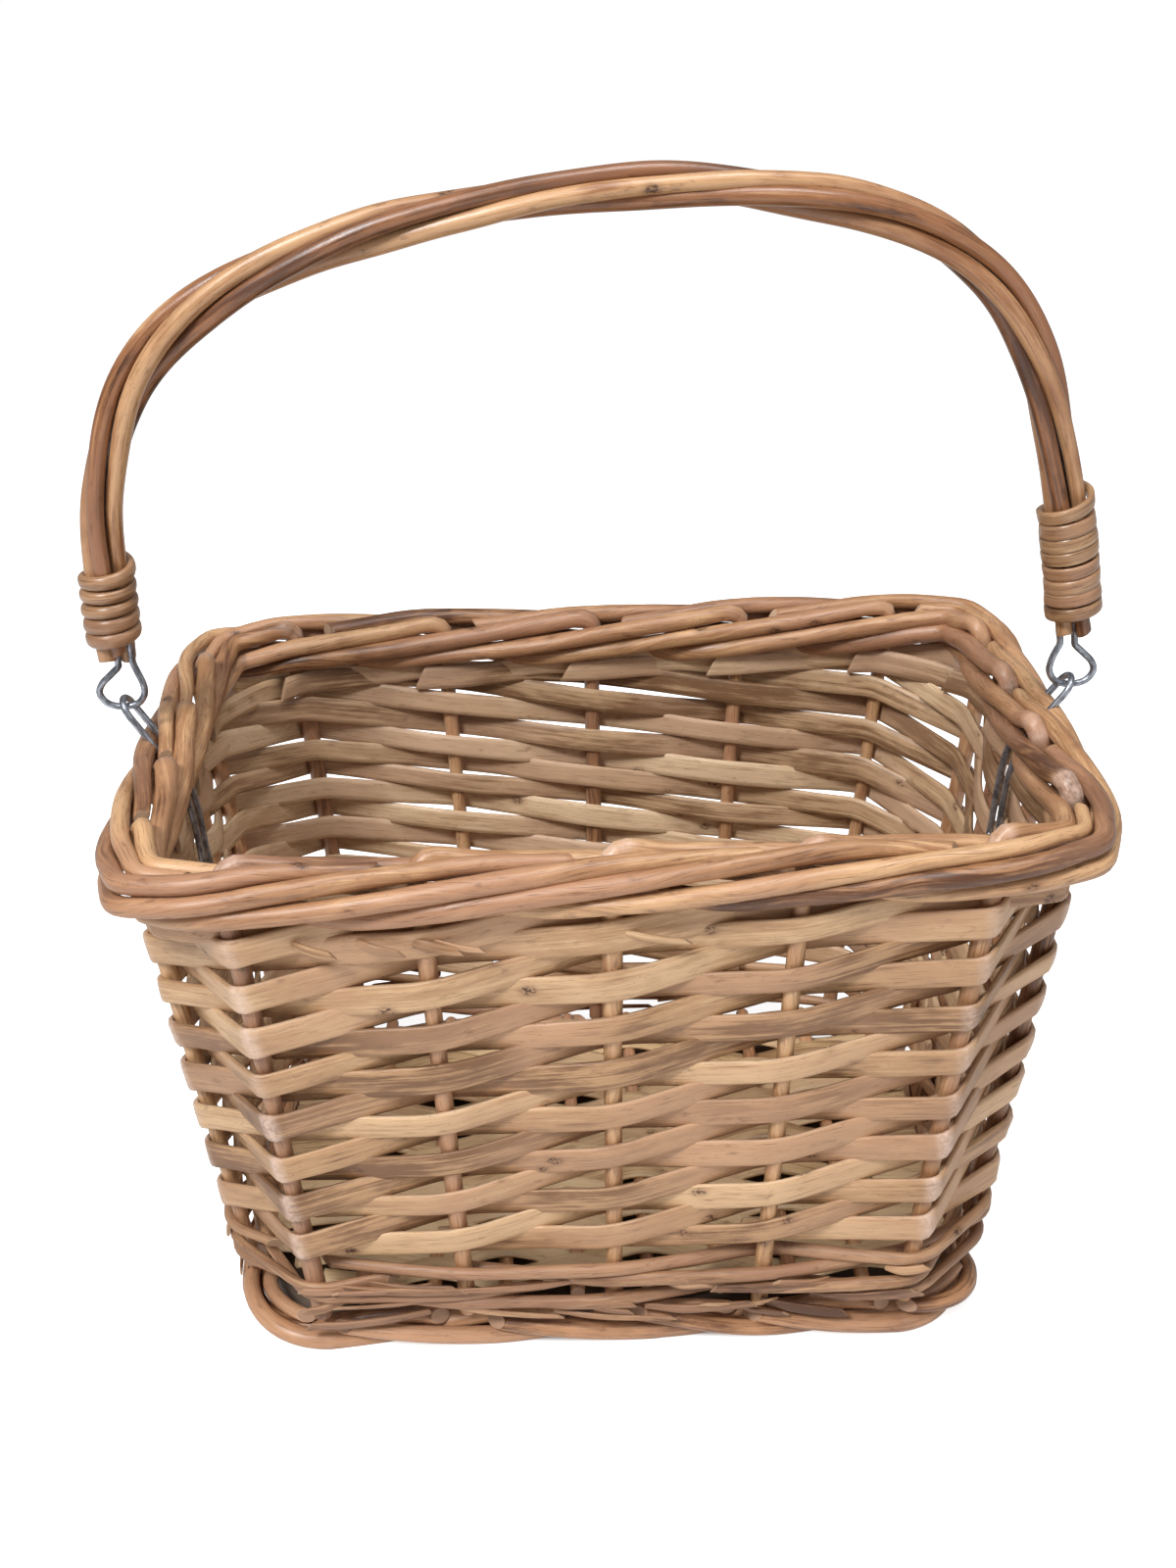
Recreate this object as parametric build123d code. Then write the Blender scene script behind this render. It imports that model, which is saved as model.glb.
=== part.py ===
"""A rectangular willow basket with a swinging, rod-wound handle.

Upright stakes stand round a woven base. Eighteen split-willow weavers climb through them as a French
rand: each goes in front of one stake and behind the next, and rises by one row from stake to stake, so
that all of them start in one row and end in one row. Below lies a wale of thin rods and a foot border.
Above it every stake kinks over to the right and runs on as one strand of the rolled rim border. Two wire
staples are pushed through that border, and the eyes of the handle's core wire turn in them.

Frame: +Z up, the origin on the ground under the middle of the basket, +X to the right, and the front
wall towards -Y. Lengths are millimetres and turns are degrees. Places round the walls are stake numbers:
stake 0 is the front wall's left one, and the numbers rise counter-clockwise seen from above.
"""
import math
import os

from build123d import *

# The basket's outer form
RIM_LENGTH = 290.0  # along X, between the middles of the rim border
RIM_WIDTH = 190.0
RIM_HEIGHT = 182.0  # of the middle of the rim border, at the middle of the basket
RIM_RISE = 5.0  # how much higher the hand-bent rim is at its right end than at its left
RIM_CORNER = 32.0
FOOT_LENGTH = 246.0  # between the middles of the foot border
FOOT_WIDTH = 172.0
FOOT_CORNER = 26.0

# Stakes and the rim border that they end in
LONG_WALL_STAKE_COUNT = 5
SHORT_WALL_STAKE_COUNT = 4
STAKE_DIAMETER = 5.8
BORDER_GAP = 0.3  # between a rising stake and the strands on both sides
BORDER_STRANDS = 6  # the strands in one cross-section
STRAND_STEP = 51.0  # the turn round the roll from one stake to the next
STRAND_CROSSING = 2  # the stakes that a strand passes before it crosses under the roll
KNUCKLE_TURN = 115.0  # where a stake's kink lies round the roll, from the outer side over the top
STRAND_REACH = 5.8  # how many stakes a strand passes before its cut end
KNUCKLE_SHARES = ((0.0, 0.6), (0.28, 1.0))  # along the first step of the strand, and out from the roll's axis

# The rand of split weavers
WEAVE_ROUNDS = 8
STRIP_THICKNESS = 1.8
STRIP_GAP = 1.0  # between one row and the next
STRIP_TAIL = 7.0  # the butt end behind the first stake
STRIP_TIP = 5.0  # the tip behind the last stake
STRIP_CORNERS = ((1, 1), (-1, 1), (-1, -1), (1, -1))

# The wale under the rand
WALE_ROWS = 4
WALE_DIAMETER = 3.8
WALE_GAP = 0.6
WALE_STROKE = 3  # a wale rod passes in front of one stake less than this, then behind one
WALE_REACH_SHARE = 0.6  # of the last gap that a wale rod still spans

# The foot border and the base
FOOT_ROD_DIAMETER = 5.6
FOOT_ROD_GAP = 0.3
FOOT_STRANDS = 3  # the strands in one cross-section
FOOT_ROD_SPACING = 2  # the stakes from the start of one rod to that of the next
FOOT_ROD_REACH = 5.8  # how many stakes a rod passes
FOOT_START_TURN = 50.0  # where a rod's butt lies round the roll, from the outer side over the top
FOOT_WEAR = 0.4  # worn flat by the ground
BASE_STICK_DIAMETER = 5.0
BASE_STICK_OVERHANG = 0.5  # of the cut ends past the walls' middle
BASE_STRIP_WIDTH = 10.0
BASE_STRIP_THICKNESS = 1.6
BASE_STRIP_GAP = 1.0
BASE_EDGE_GAP = 0.6  # between the base weave and the wale

# The handle
EYE_SETOUT = 12.5  # of each eye, outside the middle of the rim border
HINGE_RISE = 16.5  # of the hinge axis over the middle of the rim border
HANDLE_HEIGHT = 163.5  # from the hinge axis to the middle of the arch's top
HANDLE_ROD_DIAMETER = 5.2
HANDLE_ROD_GAP = 0.35
HANDLE_ROD_COUNT = 4
HANDLE_TWISTS = -1.75  # whole turns of the rods from end to end
ROD_END_HEIGHT = 15.5  # from the hinge axis to the rods' cut ends
ROD_SETBACKS = (0.0, 3.0, 1.2, 4.0)  # how much shorter each rod is cut
ARCH_SHARES = (
    (-1.0, 0.25), (-0.985, 0.45), (-0.905, 0.655), (-0.745, 0.80), (-0.485, 0.91), (-0.20, 0.975),
    (0.10, 1.0), (0.40, 0.978), (0.61, 0.925), (0.77, 0.82), (0.86, 0.68), (0.92, 0.50), (0.97, 0.28),
)  # of half the span and of the height, from the left leg to the right one

# Wire work
WIRE_DIAMETER = 2.3
EYE_RADIUS = 6.8
EYE_TURNS = (55, -200)  # where the eye starts and ends round its middle, from the outer side upwards
EYE_TAIL = 24.0  # of the wire laid back beside the rods
STAPLE_WIDTH = 9.0
STAPLE_LEG_DROP = 45.0  # from the middle of the rim border to the legs' ends
BORE_CLEARANCE = 0.2  # round a staple's legs where they pierce the border

# The cane windings
CANE_WIDTH = 4.3
CANE_THICKNESS = 2.2
CANE_GAP = 0.55  # between two turns
LEFT_BINDING_TURNS = 5
RIGHT_BINDING_TURNS = 9
LEFT_BINDING_HEIGHT = 6.0  # from the rods' cut ends to the first turn's middle
RIGHT_BINDING_HEIGHT = 9.0
CANE_SHARES = ((-0.5, 0.0), (0.5, 0.0), (0.5, 0.45), (0.25, 1.0), (-0.25, 1.0), (-0.5, 0.45))

# Fits, and how finely curved runs are drawn
CLEARANCE = 0.2
HINGE_CLEARANCE = 0.45  # between an eye and the staple that it turns in
FLATNESS = 1e-6
ROD_SIDES = 6
STEPS_PER_GAP = 4
FOOT_STEPS_PER_GAP = 3
ARCH_STEPS = 42
TAIL_STEPS = 3
EYE_STEPS = 8
ARCH_BEND_STEPS = 6
CANE_STEPS = 12

# Sizes that follow from these
STAKE_COUNT = 2 * (LONG_WALL_STAKE_COUNT + SHORT_WALL_STAKE_COUNT)
STAKE_RADIUS = STAKE_DIAMETER / 2
BORDER_RADIUS = (STAKE_DIAMETER + BORDER_GAP) / math.sin(math.radians(STRAND_STEP))
BORDER_CROSSING = 360 - BORDER_STRANDS * STRAND_STEP  # the extra turn under the roll
BORDER_OUTER = BORDER_RADIUS + STAKE_RADIUS
FOOT_ROD_RADIUS = FOOT_ROD_DIAMETER / 2
FOOT_RADIUS = (FOOT_ROD_RADIUS + FOOT_ROD_GAP / 2) / math.sin(math.radians(180 / FOOT_STRANDS))
FOOT_OUTER = FOOT_RADIUS + FOOT_ROD_RADIUS
FOOT_HEIGHT = FOOT_OUTER - FOOT_WEAR
FOOT_TOP = FOOT_HEIGHT + FOOT_OUTER
STICK_RADIUS = BASE_STICK_DIAMETER / 2
BASE_HEIGHT = FOOT_TOP + CLEARANCE + STICK_RADIUS
WALE_RADIUS = WALE_DIAMETER / 2
WALE_PITCH = WALE_DIAMETER + WALE_GAP
WALE_START = BASE_HEIGHT + STICK_RADIUS + CLEARANCE + WALE_RADIUS
WALE_TOP = WALE_START + (WALE_ROWS - 1) * WALE_PITCH + WALE_RADIUS
WEAVE_BOTTOM = WALE_TOP + CLEARANCE
WEAVE_TOP = RIM_HEIGHT - BORDER_OUTER - CLEARANCE
STRIP_PITCH = (WEAVE_TOP - WEAVE_BOTTOM + STRIP_GAP) / (2 * WEAVE_ROUNDS + 0.5)
STRIP_WIDTH = STRIP_PITCH - STRIP_GAP
STRIP_DEPTH = STAKE_RADIUS + CLEARANCE + STRIP_THICKNESS / 2
HINGE_HEIGHT = RIM_HEIGHT + HINGE_RISE
HANDLE_SPAN = RIM_LENGTH + 2 * EYE_SETOUT  # between the two eyes
WIRE_RADIUS = WIRE_DIAMETER / 2
HANDLE_ROD_RADIUS = HANDLE_ROD_DIAMETER / 2
BUNDLE_RADIUS = (HANDLE_ROD_RADIUS + HANDLE_ROD_GAP / 2) / math.sin(math.radians(180 / HANDLE_ROD_COUNT))
BUNDLE_OUTER = BUNDLE_RADIUS + HANDLE_ROD_RADIUS
GROOVE_ANGLE = math.radians(180 / HANDLE_ROD_COUNT)
GROOVE_RADIUS = BUNDLE_RADIUS * math.cos(GROOVE_ANGLE) + math.sqrt(
    (HANDLE_ROD_RADIUS + WIRE_RADIUS + CLEARANCE) ** 2 - (BUNDLE_RADIUS * math.sin(GROOVE_ANGLE)) ** 2
)  # where a wire lies beside two rods
BINDING_RADIUS = max(BUNDLE_OUTER, GROOVE_RADIUS + WIRE_RADIUS) + CLEARANCE
CANE_PITCH = CANE_WIDTH + CANE_GAP


def disc_outline(radius, sides=ROD_SIDES):
    """Return the corners of a rod's cross-section."""
    angles = [math.tau * side / sides for side in range(sides)]
    return [(radius * math.cos(angle), radius * math.sin(angle)) for angle in angles]


def flat_faces(corners):
    """Return one face through four corners, or the two triangles of a quad that isn't flat."""
    first, second, third, fourth = corners
    normal = (second - first).cross(third - first).normalized()
    outlines = [corners]
    if abs(normal.dot(fourth - first)) > FLATNESS:
        outlines = [(first, second, third), (first, third, fourth)]
    return [Face(Wire.make_polygon(outline, close=True)) for outline in outlines]


def faceted_solid(sections):
    """Return the closed solid with flat sides through a row of corner loops."""
    ends = sections[0][::-1], sections[-1]
    faces = [Face(Wire.make_polygon(end, close=True)) for end in ends]
    for near, far in zip(sections, sections[1:]):
        for index, corner in enumerate(near):
            following = (index + 1) % len(near)
            faces += flat_faces([corner, near[following], far[following], far[index]])
    return Solid(Shell(faces))


def tube(points, outline, side):
    """Return an outline carried along straight runs and mitred where they meet.

    The outline stands square to the first run, with its first axis towards side. From there its corners
    slide along each run to the next mitre plane, so that every face between two of them is flat.
    """
    start = (points[1] - points[0]).normalized()
    across = (side - start * side.dot(start)).normalized()
    upward = start.cross(across)
    corners = [points[0] + across * x + upward * y for x, y in outline]
    sections = [corners]
    for index in range(1, len(points)):
        run = (points[index] - points[index - 1]).normalized()
        mitre = run
        if index + 1 < len(points):
            mitre = run + (points[index + 1] - points[index]).normalized()
        corners = [c + run * ((points[index] - c).dot(mitre) / run.dot(mitre)) for c in corners]
        sections.append(corners)
    return faceted_solid(sections)


def rod(points, radius, side=Vector(0, 0, 1)):
    """Return a willow rod or a wire along a path."""
    return tube(points, disc_outline(radius), side)


def ring_place(stake, half_length, half_width, corner):
    """Return the plan point and the outward direction of a rounded rectangle at a stake number."""
    stake %= STAKE_COUNT
    for quarter in range(4):
        gaps, reach, run = LONG_WALL_STAKE_COUNT - 1, half_width, half_length - corner
        if quarter % 2:
            gaps, reach, run = SHORT_WALL_STAKE_COUNT - 1, half_length, half_width - corner
        outward = Vector(0, -1).rotate(Axis.Z, 90 * quarter)
        along = Vector(1, 0).rotate(Axis.Z, 90 * quarter)
        if stake <= gaps:
            return outward * reach + along * run * (2 * stake / gaps - 1), outward
        stake -= gaps
        if stake < 1:
            turned = outward.rotate(Axis.Z, 90 * stake)
            return outward * (reach - corner) + along * run + turned * corner, turned
        stake -= 1
    raise ValueError("the stake numbers don't close the ring")


def wall_point(stake, height, depth=0.0):
    """Return a point of the leaning wall, depth outside the stakes' own surface.

    Heights are those at the middle of the basket, and the rise of the rim stretches them towards the right.
    """
    foot, _ = ring_place(stake, FOOT_LENGTH / 2, FOOT_WIDTH / 2, FOOT_CORNER)
    rim, outward = ring_place(stake, RIM_LENGTH / 2, RIM_WIDTH / 2, RIM_CORNER)
    foot = Vector(foot.X, foot.Y, FOOT_HEIGHT)
    rim = Vector(rim.X, rim.Y, RIM_HEIGHT + RIM_RISE * rim.X / RIM_LENGTH)
    share = (height - FOOT_HEIGHT) / (RIM_HEIGHT - FOOT_HEIGHT)
    return foot + (rim - foot) * share + outward * depth


def wall_outward(stake):
    """Return the outward direction of the ring at a stake number."""
    return ring_place(stake, RIM_LENGTH / 2, RIM_WIDTH / 2, RIM_CORNER)[1]


def stake_outward(stake):
    """Return the direction half-way between the two walls that meet at a whole stake number."""
    return (wall_outward(stake - 0.5) + wall_outward(stake + 0.5)).normalized()


def roll_point(stake, height, radius, turn):
    """Return a point round a rolled border's axis, with its turn counted from outside over the top."""
    angle = math.radians(turn)
    sideways = wall_outward(stake) * radius * math.cos(angle)
    return wall_point(stake, height) + sideways + Vector(0, 0, radius * math.sin(angle))


def plan_direction(start, end):
    """Return the level direction from one point to another."""
    return Vector(end.X - start.X, end.Y - start.Y).normalized()


def woven_path(stakes, heights, sides, depth):
    """Return a path that keeps depth away from the middle of every stake that it bends round.

    sides holds 1 for each stake passed outside and -1 for each one passed inside.
    """
    places = list(zip(stakes, heights, sides))
    rough = [wall_point(s, h) + stake_outward(s) * depth * side for s, h, side in places]
    path = [rough[0]]
    for index in range(1, len(places) - 1):
        stake, height, side = places[index]
        arriving = plan_direction(rough[index - 1], rough[index])
        leaving = plan_direction(rough[index], rough[index + 1])
        half_turn = math.radians(arriving.get_angle(leaving) / 2)
        path.append(wall_point(stake, height) + stake_outward(stake) * side * depth / math.cos(half_turn))
    path.append(rough[-1])
    return path


def strand_turn(passed):
    """Return a border strand's turn round the roll after it has passed a number of stakes."""
    under = min(max(passed - STRAND_CROSSING, 0), 1)
    return KNUCKLE_TURN + STRAND_STEP * passed + BORDER_CROSSING * under


def stake_path(stake):
    """Return the path of one stake, from the foot border to the cut end of its strand."""
    path = [
        wall_point(stake, FOOT_TOP + CLEARANCE),
        wall_point(stake, WEAVE_TOP),
        roll_point(stake, RIM_HEIGHT, BORDER_RADIUS, 270),
        wall_point(stake, RIM_HEIGHT),
    ]
    run = wall_point(stake + 1 / STEPS_PER_GAP, RIM_HEIGHT) - wall_point(stake, RIM_HEIGHT)
    for along, out in KNUCKLE_SHARES:
        path.append(roll_point(stake, RIM_HEIGHT, BORDER_RADIUS * out, KNUCKLE_TURN) + run * along)
    steps = [step / STEPS_PER_GAP for step in range(1, int(STRAND_REACH * STEPS_PER_GAP) + 1)]
    for passed in steps + [STRAND_REACH]:
        path.append(roll_point(stake + passed, RIM_HEIGHT, BORDER_RADIUS, strand_turn(passed)))
    return path


def weaver_solid(first):
    """Return one split weaver of the rand, from its butt behind stake first to its tip under the border.

    It has climbed enough half-way to its last stake, and runs level from there.
    """
    last = 2 * WEAVE_ROUNDS
    levels = range(last + 2)
    stakes = [first + level for level in levels]
    heights = [WEAVE_BOTTOM + STRIP_WIDTH / 2 + STRIP_PITCH * level for level in levels]
    heights[last] -= STRIP_PITCH / 2
    path = woven_path(stakes, heights, [1 if level % 2 else -1 for level in levels], STRIP_DEPTH)
    climb = wall_point(first + last, heights[last]) - wall_point(first + last, heights[last - 1])
    middle = (path[last - 1] + path[last] + climb) / 2
    backward = plan_direction(wall_point(first, 0), wall_point(first - 1, 0))
    forward = plan_direction(wall_point(first + last, 0), wall_point(first + last + 1, 0))
    butt, tip = path[0] + backward * STRIP_TAIL, path[last] + forward * STRIP_TIP
    path = [butt] + path[:last] + [middle, path[last], tip]
    sections = []
    for index, point in enumerate(path):
        arriving = plan_direction(path[max(index - 1, 0)], path[max(index, 1)])
        leaving = plan_direction(path[min(index, len(path) - 2)], path[min(index + 1, len(path) - 1)])
        half_turn = math.radians(arriving.get_angle(leaving) / 2)
        sideways = (arriving + leaving).normalized().rotate(Axis.Z, -90)
        thick = sideways * STRIP_THICKNESS / 2 / math.cos(half_turn)
        stake = stakes[min(max(index - 1, 0), len(stakes) - 1)]
        lean = wall_point(stake, STRIP_WIDTH / 2) - wall_point(stake, 0)
        sections.append([point + lean * x + thick * y for x, y in STRIP_CORNERS])
    return faceted_solid(sections)


def wale_rod(row):
    """Return one rod of the wale: in front of two stakes, behind one, all round the basket."""
    first = (WALE_STROKE - 1) * row % WALE_STROKE
    numbers = range(STAKE_COUNT + 1)
    stakes = [first + number for number in numbers]
    height = WALE_START + row * WALE_PITCH
    sides = [1 if number % WALE_STROKE else -1 for number in numbers]
    path = woven_path(stakes, [height] * len(stakes), sides, STAKE_RADIUS + CLEARANCE + WALE_RADIUS)
    path[-1] = path[-2] + (path[-1] - path[-2]) * WALE_REACH_SHARE
    return rod(path, WALE_RADIUS)


def foot_border():
    """Return the short rods of the foot border, which roll down round each other and are worn underneath."""
    stake_turn = 360 / (FOOT_STRANDS * FOOT_ROD_SPACING)
    steps = [step / FOOT_STEPS_PER_GAP for step in range(int(FOOT_ROD_REACH * FOOT_STEPS_PER_GAP) + 1)]
    steps.append(FOOT_ROD_REACH)
    margin = 3 * FOOT_OUTER
    ground = Pos(0, 0, FOOT_TOP / 2) * Box(FOOT_LENGTH + margin, FOOT_WIDTH + margin, FOOT_TOP)
    rods = []
    for start in range(0, STAKE_COUNT, FOOT_ROD_SPACING):
        turns = [FOOT_START_TURN - stake_turn * s for s in steps]
        path = [roll_point(start + s, FOOT_HEIGHT, FOOT_RADIUS, turn) for s, turn in zip(steps, turns)]
        rods += (rod(path, FOOT_ROD_RADIUS) & ground).solids()
    return rods


def stick_places():
    """Return the X places of the base sticks, two in each gap between the long walls' stakes."""
    gap = (FOOT_LENGTH - 2 * FOOT_CORNER) / (LONG_WALL_STAKE_COUNT - 1)
    count = 2 * (LONG_WALL_STAKE_COUNT - 1)
    return [gap / 2 * (number - (count - 1) / 2) for number in range(count)]


def base_sticks():
    """Return the sticks that run from front to back on the foot border."""
    end = FOOT_WIDTH / 2 + BASE_STICK_OVERHANG
    paths = [[Vector(x, -end, BASE_HEIGHT), Vector(x, end, BASE_HEIGHT)] for x in stick_places()]
    return [rod(path, STICK_RADIUS) for path in paths]


def base_weave():
    """Return the flat strips woven along the basket over and under the base sticks."""
    margin = STAKE_RADIUS + CLEARANCE + WALE_DIAMETER + BASE_EDGE_GAP
    half_length, half_width = FOOT_LENGTH / 2 - margin, FOOT_WIDTH / 2 - margin
    chamfer = (FOOT_LENGTH + FOOT_WIDTH) / 2 - FOOT_CORNER - margin * math.sqrt(2)
    pitch = BASE_STRIP_WIDTH + BASE_STRIP_GAP
    count = int((2 * half_width + BASE_STRIP_GAP) / pitch)
    offset = STICK_RADIUS + CLEARANCE + BASE_STRIP_THICKNESS / 2
    profile = [(x * BASE_STRIP_WIDTH / 2, -z * BASE_STRIP_THICKNESS / 2) for x, z in STRIP_CORNERS]
    sticks = stick_places()
    stick_pitch = sticks[1] - sticks[0]
    strips = []
    for number in range(count):
        y = (number - (count - 1) / 2) * pitch
        end = min(half_length, chamfer - abs(y) - BASE_STRIP_WIDTH / 2)
        waves = [(x, offset if (index + number) % 2 else -offset) for index, x in enumerate(sticks)]
        turn_back = max(1 - 2 * (end - sticks[-1]) / stick_pitch, -1)
        waves = [(-end, waves[0][1] * turn_back)] + waves + [(end, waves[-1][1] * turn_back)]
        path = [Vector(x, y, BASE_HEIGHT + rise) for x, rise in waves]
        strips.append(tube(path, profile, Vector(0, 1, 0)))
    return strips


class Handle:
    """The handle's arch: its middle line, and places round that line."""

    def __init__(self):
        half_span = HANDLE_SPAN / 2
        inner = [Vector(x * half_span, 0, HINGE_HEIGHT + z * HANDLE_HEIGHT) for x, z in ARCH_SHARES]
        left_end = Vector(-half_span, 0, HINGE_HEIGHT + ROD_END_HEIGHT)
        right_end = Vector(half_span, 0, HINGE_HEIGHT + ROD_END_HEIGHT)
        self.line = Spline(left_end, *inner, right_end)
        self.length = self.line.length

    def point(self, distance, radius=0.0, turn=0.0):
        """Return the place at a distance from the left end, turned round the line from its inner side."""
        share = distance / self.length
        forward = self.line.tangent_at(share)
        inward = forward.cross(Vector(0, -1, 0))
        angle = math.radians(turn)
        sideways = Vector(0, radius * math.sin(angle))
        return self.line.position_at(share) + inward * radius * math.cos(angle) + sideways

    def twist(self, distance):
        """Return how far the rods have wound round the core at a distance from the left end."""
        return 360 * HANDLE_TWISTS * distance / self.length

    def rod_solid(self, number):
        """Return one of the rods that wind round the core wire."""
        setback = ROD_SETBACKS[number]
        reach = self.length - 2 * setback
        phase = 360 * (number + 0.5) / HANDLE_ROD_COUNT
        distances = [setback + reach * step / ARCH_STEPS for step in range(ARCH_STEPS + 1)]
        path = [self.point(d, BUNDLE_RADIUS, phase + self.twist(d)) for d in distances]
        return rod(path, HANDLE_ROD_RADIUS)

    def tail(self, end_distance, direction):
        """Return the wire's end, laid in the groove between two rods, from the eye upwards."""
        reach = direction * EYE_TAIL
        distances = [end_distance + reach * step / TAIL_STEPS for step in range(TAIL_STEPS + 1)]
        start_twist = self.twist(end_distance)
        return [self.point(d, GROOVE_RADIUS, self.twist(d) - start_twist) for d in distances]

    def wire_solid(self):
        """Return the core wire, with the eye and the tail that end it on both sides."""
        core = [self.point(self.length * step / ARCH_STEPS) for step in range(ARCH_STEPS + 1)]
        left = self.tail(0, 1)[::-1] + eye_points(-1)[::-1]
        right = eye_points(1) + self.tail(self.length, -1)
        return rod(left + core + right, WIRE_RADIUS, Vector(0, 1, 0))

    def binding_solid(self, end_distance, direction, start_height, turns):
        """Return one cane wound as an unbroken helix round the rods and the wire's tail."""
        mitre = math.cos(math.pi / CANE_STEPS)
        sections = []
        for step in range(turns * CANE_STEPS + 1):
            along = start_height + CANE_PITCH * step / CANE_STEPS
            turn = direction * 360 * step / CANE_STEPS
            sections.append([
                self.point(
                    end_distance + direction * (along + x * CANE_WIDTH),
                    (BINDING_RADIUS + y * CANE_THICKNESS) / mitre,
                    turn,
                )
                for x, y in CANE_SHARES
            ])
        print("least gap between the turns of a binding:", round(least_gap(sections, CANE_STEPS), 3))
        return faceted_solid(sections)


def least_gap(sections, turn_steps):
    """Return the least distance between the corners of a winding and those of its next turn."""
    gaps = []
    for near, far in zip(sections, sections[turn_steps:]):
        gaps += [(corner - other).length for corner in near for other in far]
    return min(gaps)


def eye_points(side):
    """Return the eye on one side, from the core wire's exit to the foot of its tail."""
    points = [(0.0, ROD_END_HEIGHT - WIRE_DIAMETER / 2)]
    first, last = EYE_TURNS
    for step in range(EYE_STEPS + 1):
        angle = math.radians(first + (last - first) * step / EYE_STEPS)
        points.append((EYE_RADIUS * math.cos(angle), EYE_RADIUS * (1 + math.sin(angle))))
    return [Vector(side * (HANDLE_SPAN / 2 + x), 0, HINGE_HEIGHT + z) for x, z in points]


def staple_path(side):
    """Return the path of the staple that carries one eye, from one leg's end over the arch to the other's."""
    middle = LONG_WALL_STAKE_COUNT + (SHORT_WALL_STAKE_COUNT - 1) / 2
    if side < 0:
        middle += STAKE_COUNT / 2
    radius = STAPLE_WIDTH / 2
    outward = wall_outward(middle)
    gap = (wall_point(middle + 0.5, RIM_HEIGHT) - wall_point(middle - 0.5, RIM_HEIGHT)).length
    lean = STRIP_DEPTH * STAPLE_WIDTH / gap + STRIP_THICKNESS / 2 + CLEARANCE + WIRE_RADIUS
    top = Vector(side * HANDLE_SPAN / 2, 0, HINGE_HEIGHT + WIRE_DIAMETER + HINGE_CLEARANCE)
    below = wall_point(middle, RIM_HEIGHT - BORDER_OUTER + WIRE_RADIUS, -lean)
    foot = wall_point(middle, RIM_HEIGHT - STAPLE_LEG_DROP, -lean)
    down = (below - top).normalized()
    across = Vector(0, radius, 0)
    arch = []
    for step in range(ARCH_BEND_STEPS + 1):
        angle = math.pi * step / ARCH_BEND_STEPS
        arch.append(top + down * radius * (1 - math.sin(angle)) - across * math.cos(angle))
    return [foot - across, below - across] + arch + [below + across, foot + across], outward


def write(name, solids):
    """Write one piece, or a group of like pieces, under its node name."""
    shape = Compound(children=list(solids)) if isinstance(solids, list) else solids
    shape.label = name
    export_step(shape, os.path.join("parts", name + ".step"))


def main():
    """Build every piece of the basket and write its STEP file."""
    os.makedirs("parts", exist_ok=True)
    bores = []
    for side, name in ((-1, "staple_left"), (1, "staple_right")):
        path, outward = staple_path(side)
        write(name, rod(path, WIRE_RADIUS, outward))
        bores.append(rod(path, WIRE_RADIUS + BORE_CLEARANCE, outward))
    for stake in range(STAKE_COUNT):
        solid = rod(stake_path(stake), STAKE_RADIUS, stake_outward(stake))
        for bore in bores:
            solid = solid - bore
        write(f"stake_{stake + 1:02d}", solid)
        write(f"weaver_{stake + 1:02d}", weaver_solid(stake))
    for row in range(WALE_ROWS):
        write(f"wale_rod_{row + 1}", wale_rod(row))
    write("foot_border", foot_border())
    write("base_sticks", base_sticks())
    write("base_weave", base_weave())
    handle = Handle()
    for number in range(HANDLE_ROD_COUNT):
        write(f"handle_rod_{number + 1}", handle.rod_solid(number))
    write("handle_wire", handle.wire_solid())
    left = handle.binding_solid(0, 1, LEFT_BINDING_HEIGHT, LEFT_BINDING_TURNS)
    write("handle_binding_left", left)
    right = handle.binding_solid(handle.length, -1, RIGHT_BINDING_HEIGHT, RIGHT_BINDING_TURNS)
    write("handle_binding_right", right)


main()
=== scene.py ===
"""The woven willow basket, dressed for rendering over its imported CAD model.

Every strand of the basket is swept again along the path that its solid has, as the round or split willow
that it is: tapered, a little uneven, with cut ends and creases. All sizes in the classes are millimetres and
all turns are degrees, in the frame of the CAD model: +Z up, the front wall towards -Y, stake 0 at the front
wall's left and the stake numbers rising counter-clockwise.
"""
from __future__ import annotations

import logging
import math
from dataclasses import dataclass, field
from enum import Enum, IntEnum

import bpy
import numpy as np
from mathutils import Matrix, Vector

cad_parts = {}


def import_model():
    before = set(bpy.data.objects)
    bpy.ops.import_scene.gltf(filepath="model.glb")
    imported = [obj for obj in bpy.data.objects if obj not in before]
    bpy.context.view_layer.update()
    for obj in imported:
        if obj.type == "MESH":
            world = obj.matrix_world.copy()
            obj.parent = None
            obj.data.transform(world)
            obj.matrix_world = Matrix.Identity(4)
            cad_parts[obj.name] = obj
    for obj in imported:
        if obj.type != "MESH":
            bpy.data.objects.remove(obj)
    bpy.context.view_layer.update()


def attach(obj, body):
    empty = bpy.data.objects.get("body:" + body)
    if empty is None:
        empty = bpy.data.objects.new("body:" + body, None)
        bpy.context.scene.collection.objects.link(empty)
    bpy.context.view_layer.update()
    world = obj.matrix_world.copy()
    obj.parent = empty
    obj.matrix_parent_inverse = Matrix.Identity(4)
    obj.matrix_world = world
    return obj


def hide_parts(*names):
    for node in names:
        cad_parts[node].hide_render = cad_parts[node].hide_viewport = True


LOG = logging.getLogger("basket")
MILLIMETRE = 0.001
UP = np.array([0.0, 0.0, 1.0])
BACK = np.array([0.0, 1.0, 0.0])
ROUND_SIDES = 14
SPAN_POINTS = 14
BEND_POINTS = 9
LARGEST_BEND = 0.45
NEARLY_STRAIGHT = 0.99
Colour = tuple[float, float, float]


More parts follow.
